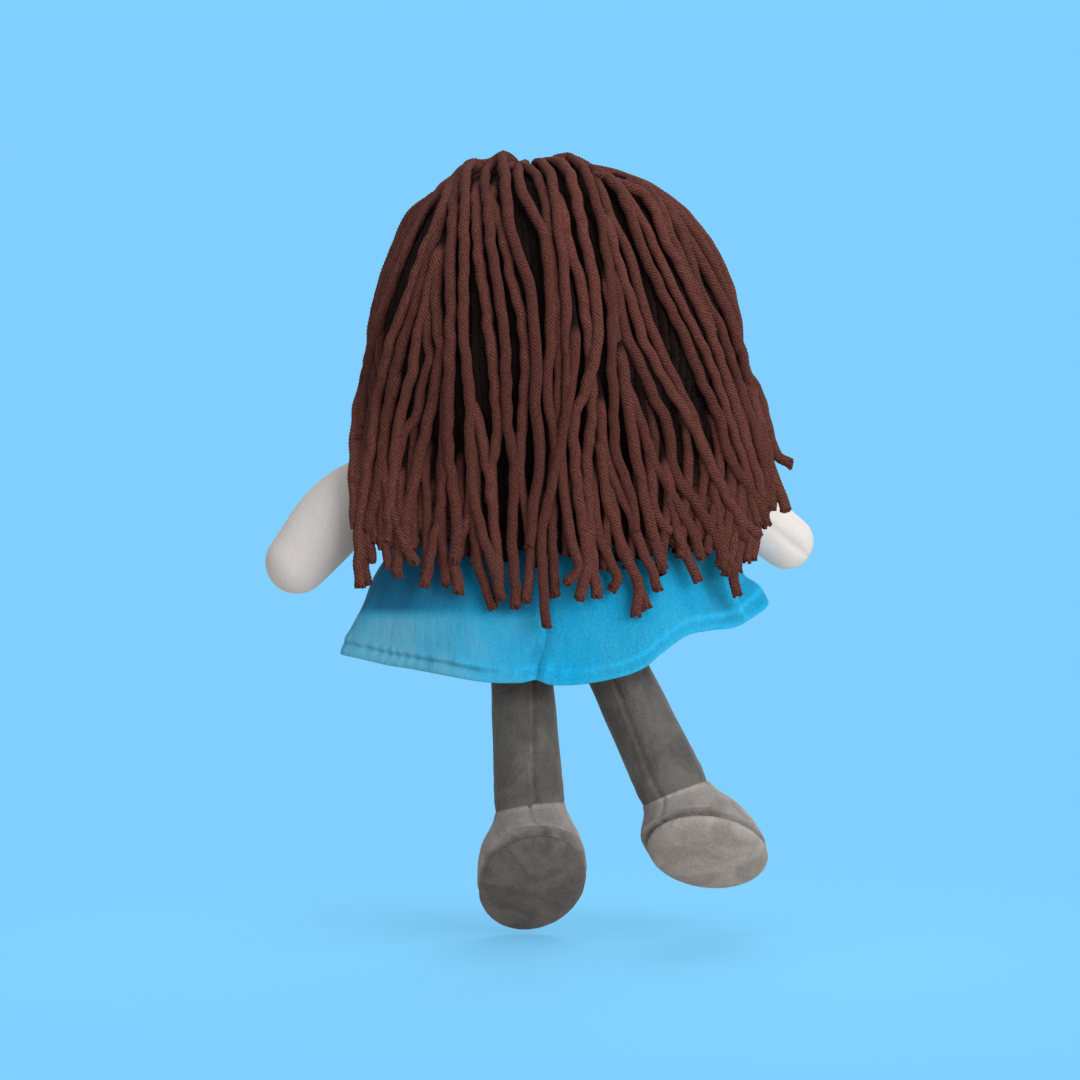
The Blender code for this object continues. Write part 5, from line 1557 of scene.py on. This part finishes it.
def makeMouth():
    def build(mesh):
        count = int(2 * face["mouthHalf"] / face["rowStep"])
        for row in range(count + 1):
            share = 2 * row / count - 1
            x = share * face["mouthHalf"]
            middle = face["mouthZ"] + face["mouthCurve"] * share**2
            half = face["mouthThick"] * (1 - 0.75 * share**2)
            stitch(mesh, (x - face["slant"], middle - half), (x + face["slant"], middle + half), row)
    return tubePiece("mouthStitches", looks["mouthThread"], build)


# build everything

headSkin = makeHead()
torsoSkin = makeTorso()
leftArm, rightArm = makeArm("left", 1), makeArm("right", -1)
leftStocking, rightStocking = makeStocking("left", 1), makeStocking("right", -1)
leftShoe, leftSole = makeShoe("left", 1)
rightShoe, rightSole = makeShoe("right", -1)
stuffings = [(makeArmStuffing("left", 1), "left_arm"), (makeArmStuffing("right", -1), "right_arm"),
             (makeLegStuffing("left", 1), "left_leg"), (makeLegStuffing("right", -1), "right_leg")]
print("stuffed pieces ready")

dressBackLeft = makeDressPanel("dressBackLeft", -0.01, dress["seam"] + 0.006, True)
dressBackRight = makeDressPanel("dressBackRight", dress["seam"] - 0.006, math.pi + 0.01, False)
dressBodice = makeBodice()
dressSkirtRight = makeSkirt("dressSkirtRight", math.pi, 1.5 * math.pi + 0.16, 0.0)
dressSkirtLeft = makeSkirt("dressSkirtLeft", 1.5 * math.pi - 0.16, 2 * math.pi, 0.0022)
for panel in (dressBackLeft, dressBackRight, dressBodice, dressSkirtRight, dressSkirtLeft):
    applyAll(panel)
cutArmholes((dressBackLeft, dressBackRight, dressBodice, dressSkirtLeft, dressSkirtRight))
print("dress ready")

hairBack, hairLocks, hairFringe = makeHair()
leftEye, rightEye, mouth = makeEye("leftEyeStitches", 1), makeEye("rightEyeStitches", -1), makeMouth()
print("hair and face ready")

stuffed = ((headSkin, 0.0012), (leftArm, 0.0008), (rightArm, 0.0008), (leftStocking, 0.0006), (rightStocking, 0.0006),
           (leftShoe, 0.0008), (rightShoe, 0.0008), (leftSole, 0.0010), (rightSole, 0.0010))
stuffPieces(stuffed)
for piece, limit in stuffed:
    finer = piece.modifiers.new("finer", "SUBSURF")
    finer.levels = finer.render_levels = 1
    applyAll(piece)
print("stuffed fabric ready")

# what rides on what, and what each piece stands for

for piece, body, nodes, slot in (
    (headSkin, "head", ("head_face_panel", "head_back_panel"), "ivory_skin"),
    (torsoSkin, "torso", ("torso_front_panel", "torso_back_panel"), "ivory_skin"),
    (leftArm, "left_arm", ("left_arm_skin",), "ivory_skin"),
    (rightArm, "right_arm", ("right_arm_skin",), "ivory_skin"),
    (leftStocking, "left_leg", ("left_stocking",), "dark_grey_plush"),
    (rightStocking, "right_leg", ("right_stocking",), "dark_grey_plush"),
    (leftShoe, "left_leg", ("left_shoe_upper",), "light_grey_plush"),
    (rightShoe, "right_leg", ("right_shoe_upper",), "light_grey_plush"),
    (leftSole, "left_leg", ("left_shoe_sole",), "sole_plush"),
    (rightSole, "right_leg", ("right_shoe_sole",), "sole_plush"),
    (dressBackLeft, "torso", ("dress_back_left",), "blue_plush"),
    (dressBackRight, "torso", ("dress_back_right",), "blue_plush"),
    (dressBodice, "torso", ("dress_front",), "blue_plush"),
    (hairLocks["Left"], "head", ("hair_left_lock",), "brown_yarn"),
    (hairLocks["Right"], "head", ("hair_right_lock",), "brown_yarn"),
    (hairFringe, "head", ("hair_fringe",), "brown_yarn"),
    (leftEye, "head", ("left_eye",), "dark_thread"),
    (rightEye, "head", ("right_eye",), "dark_thread"),
    (mouth, "head", ("mouth",), "red_thread"),
):
    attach(piece, body)
    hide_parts(*nodes)

for piece, body in stuffings:
    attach(piece, body)
    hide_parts(body + "_stuffing")

for piece in hairBack:
    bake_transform(piece)
    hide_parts("hair_back")

for piece, leg, sign in ((dressSkirtLeft, "left_leg", 1), (dressSkirtRight, "right_leg", -1)):
    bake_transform(piece)
    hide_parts("dress_front")

for name in ("head_stuffing", "torso_stuffing", "hair_tape"):
    cadNode = bpy.data.objects[name]
    for slot in cadNode.material_slots:
        slot.material = looks["tape" if name == "hair_tape" else "stuffing"]

bpy.context.scene.view_settings.view_transform = "Standard"
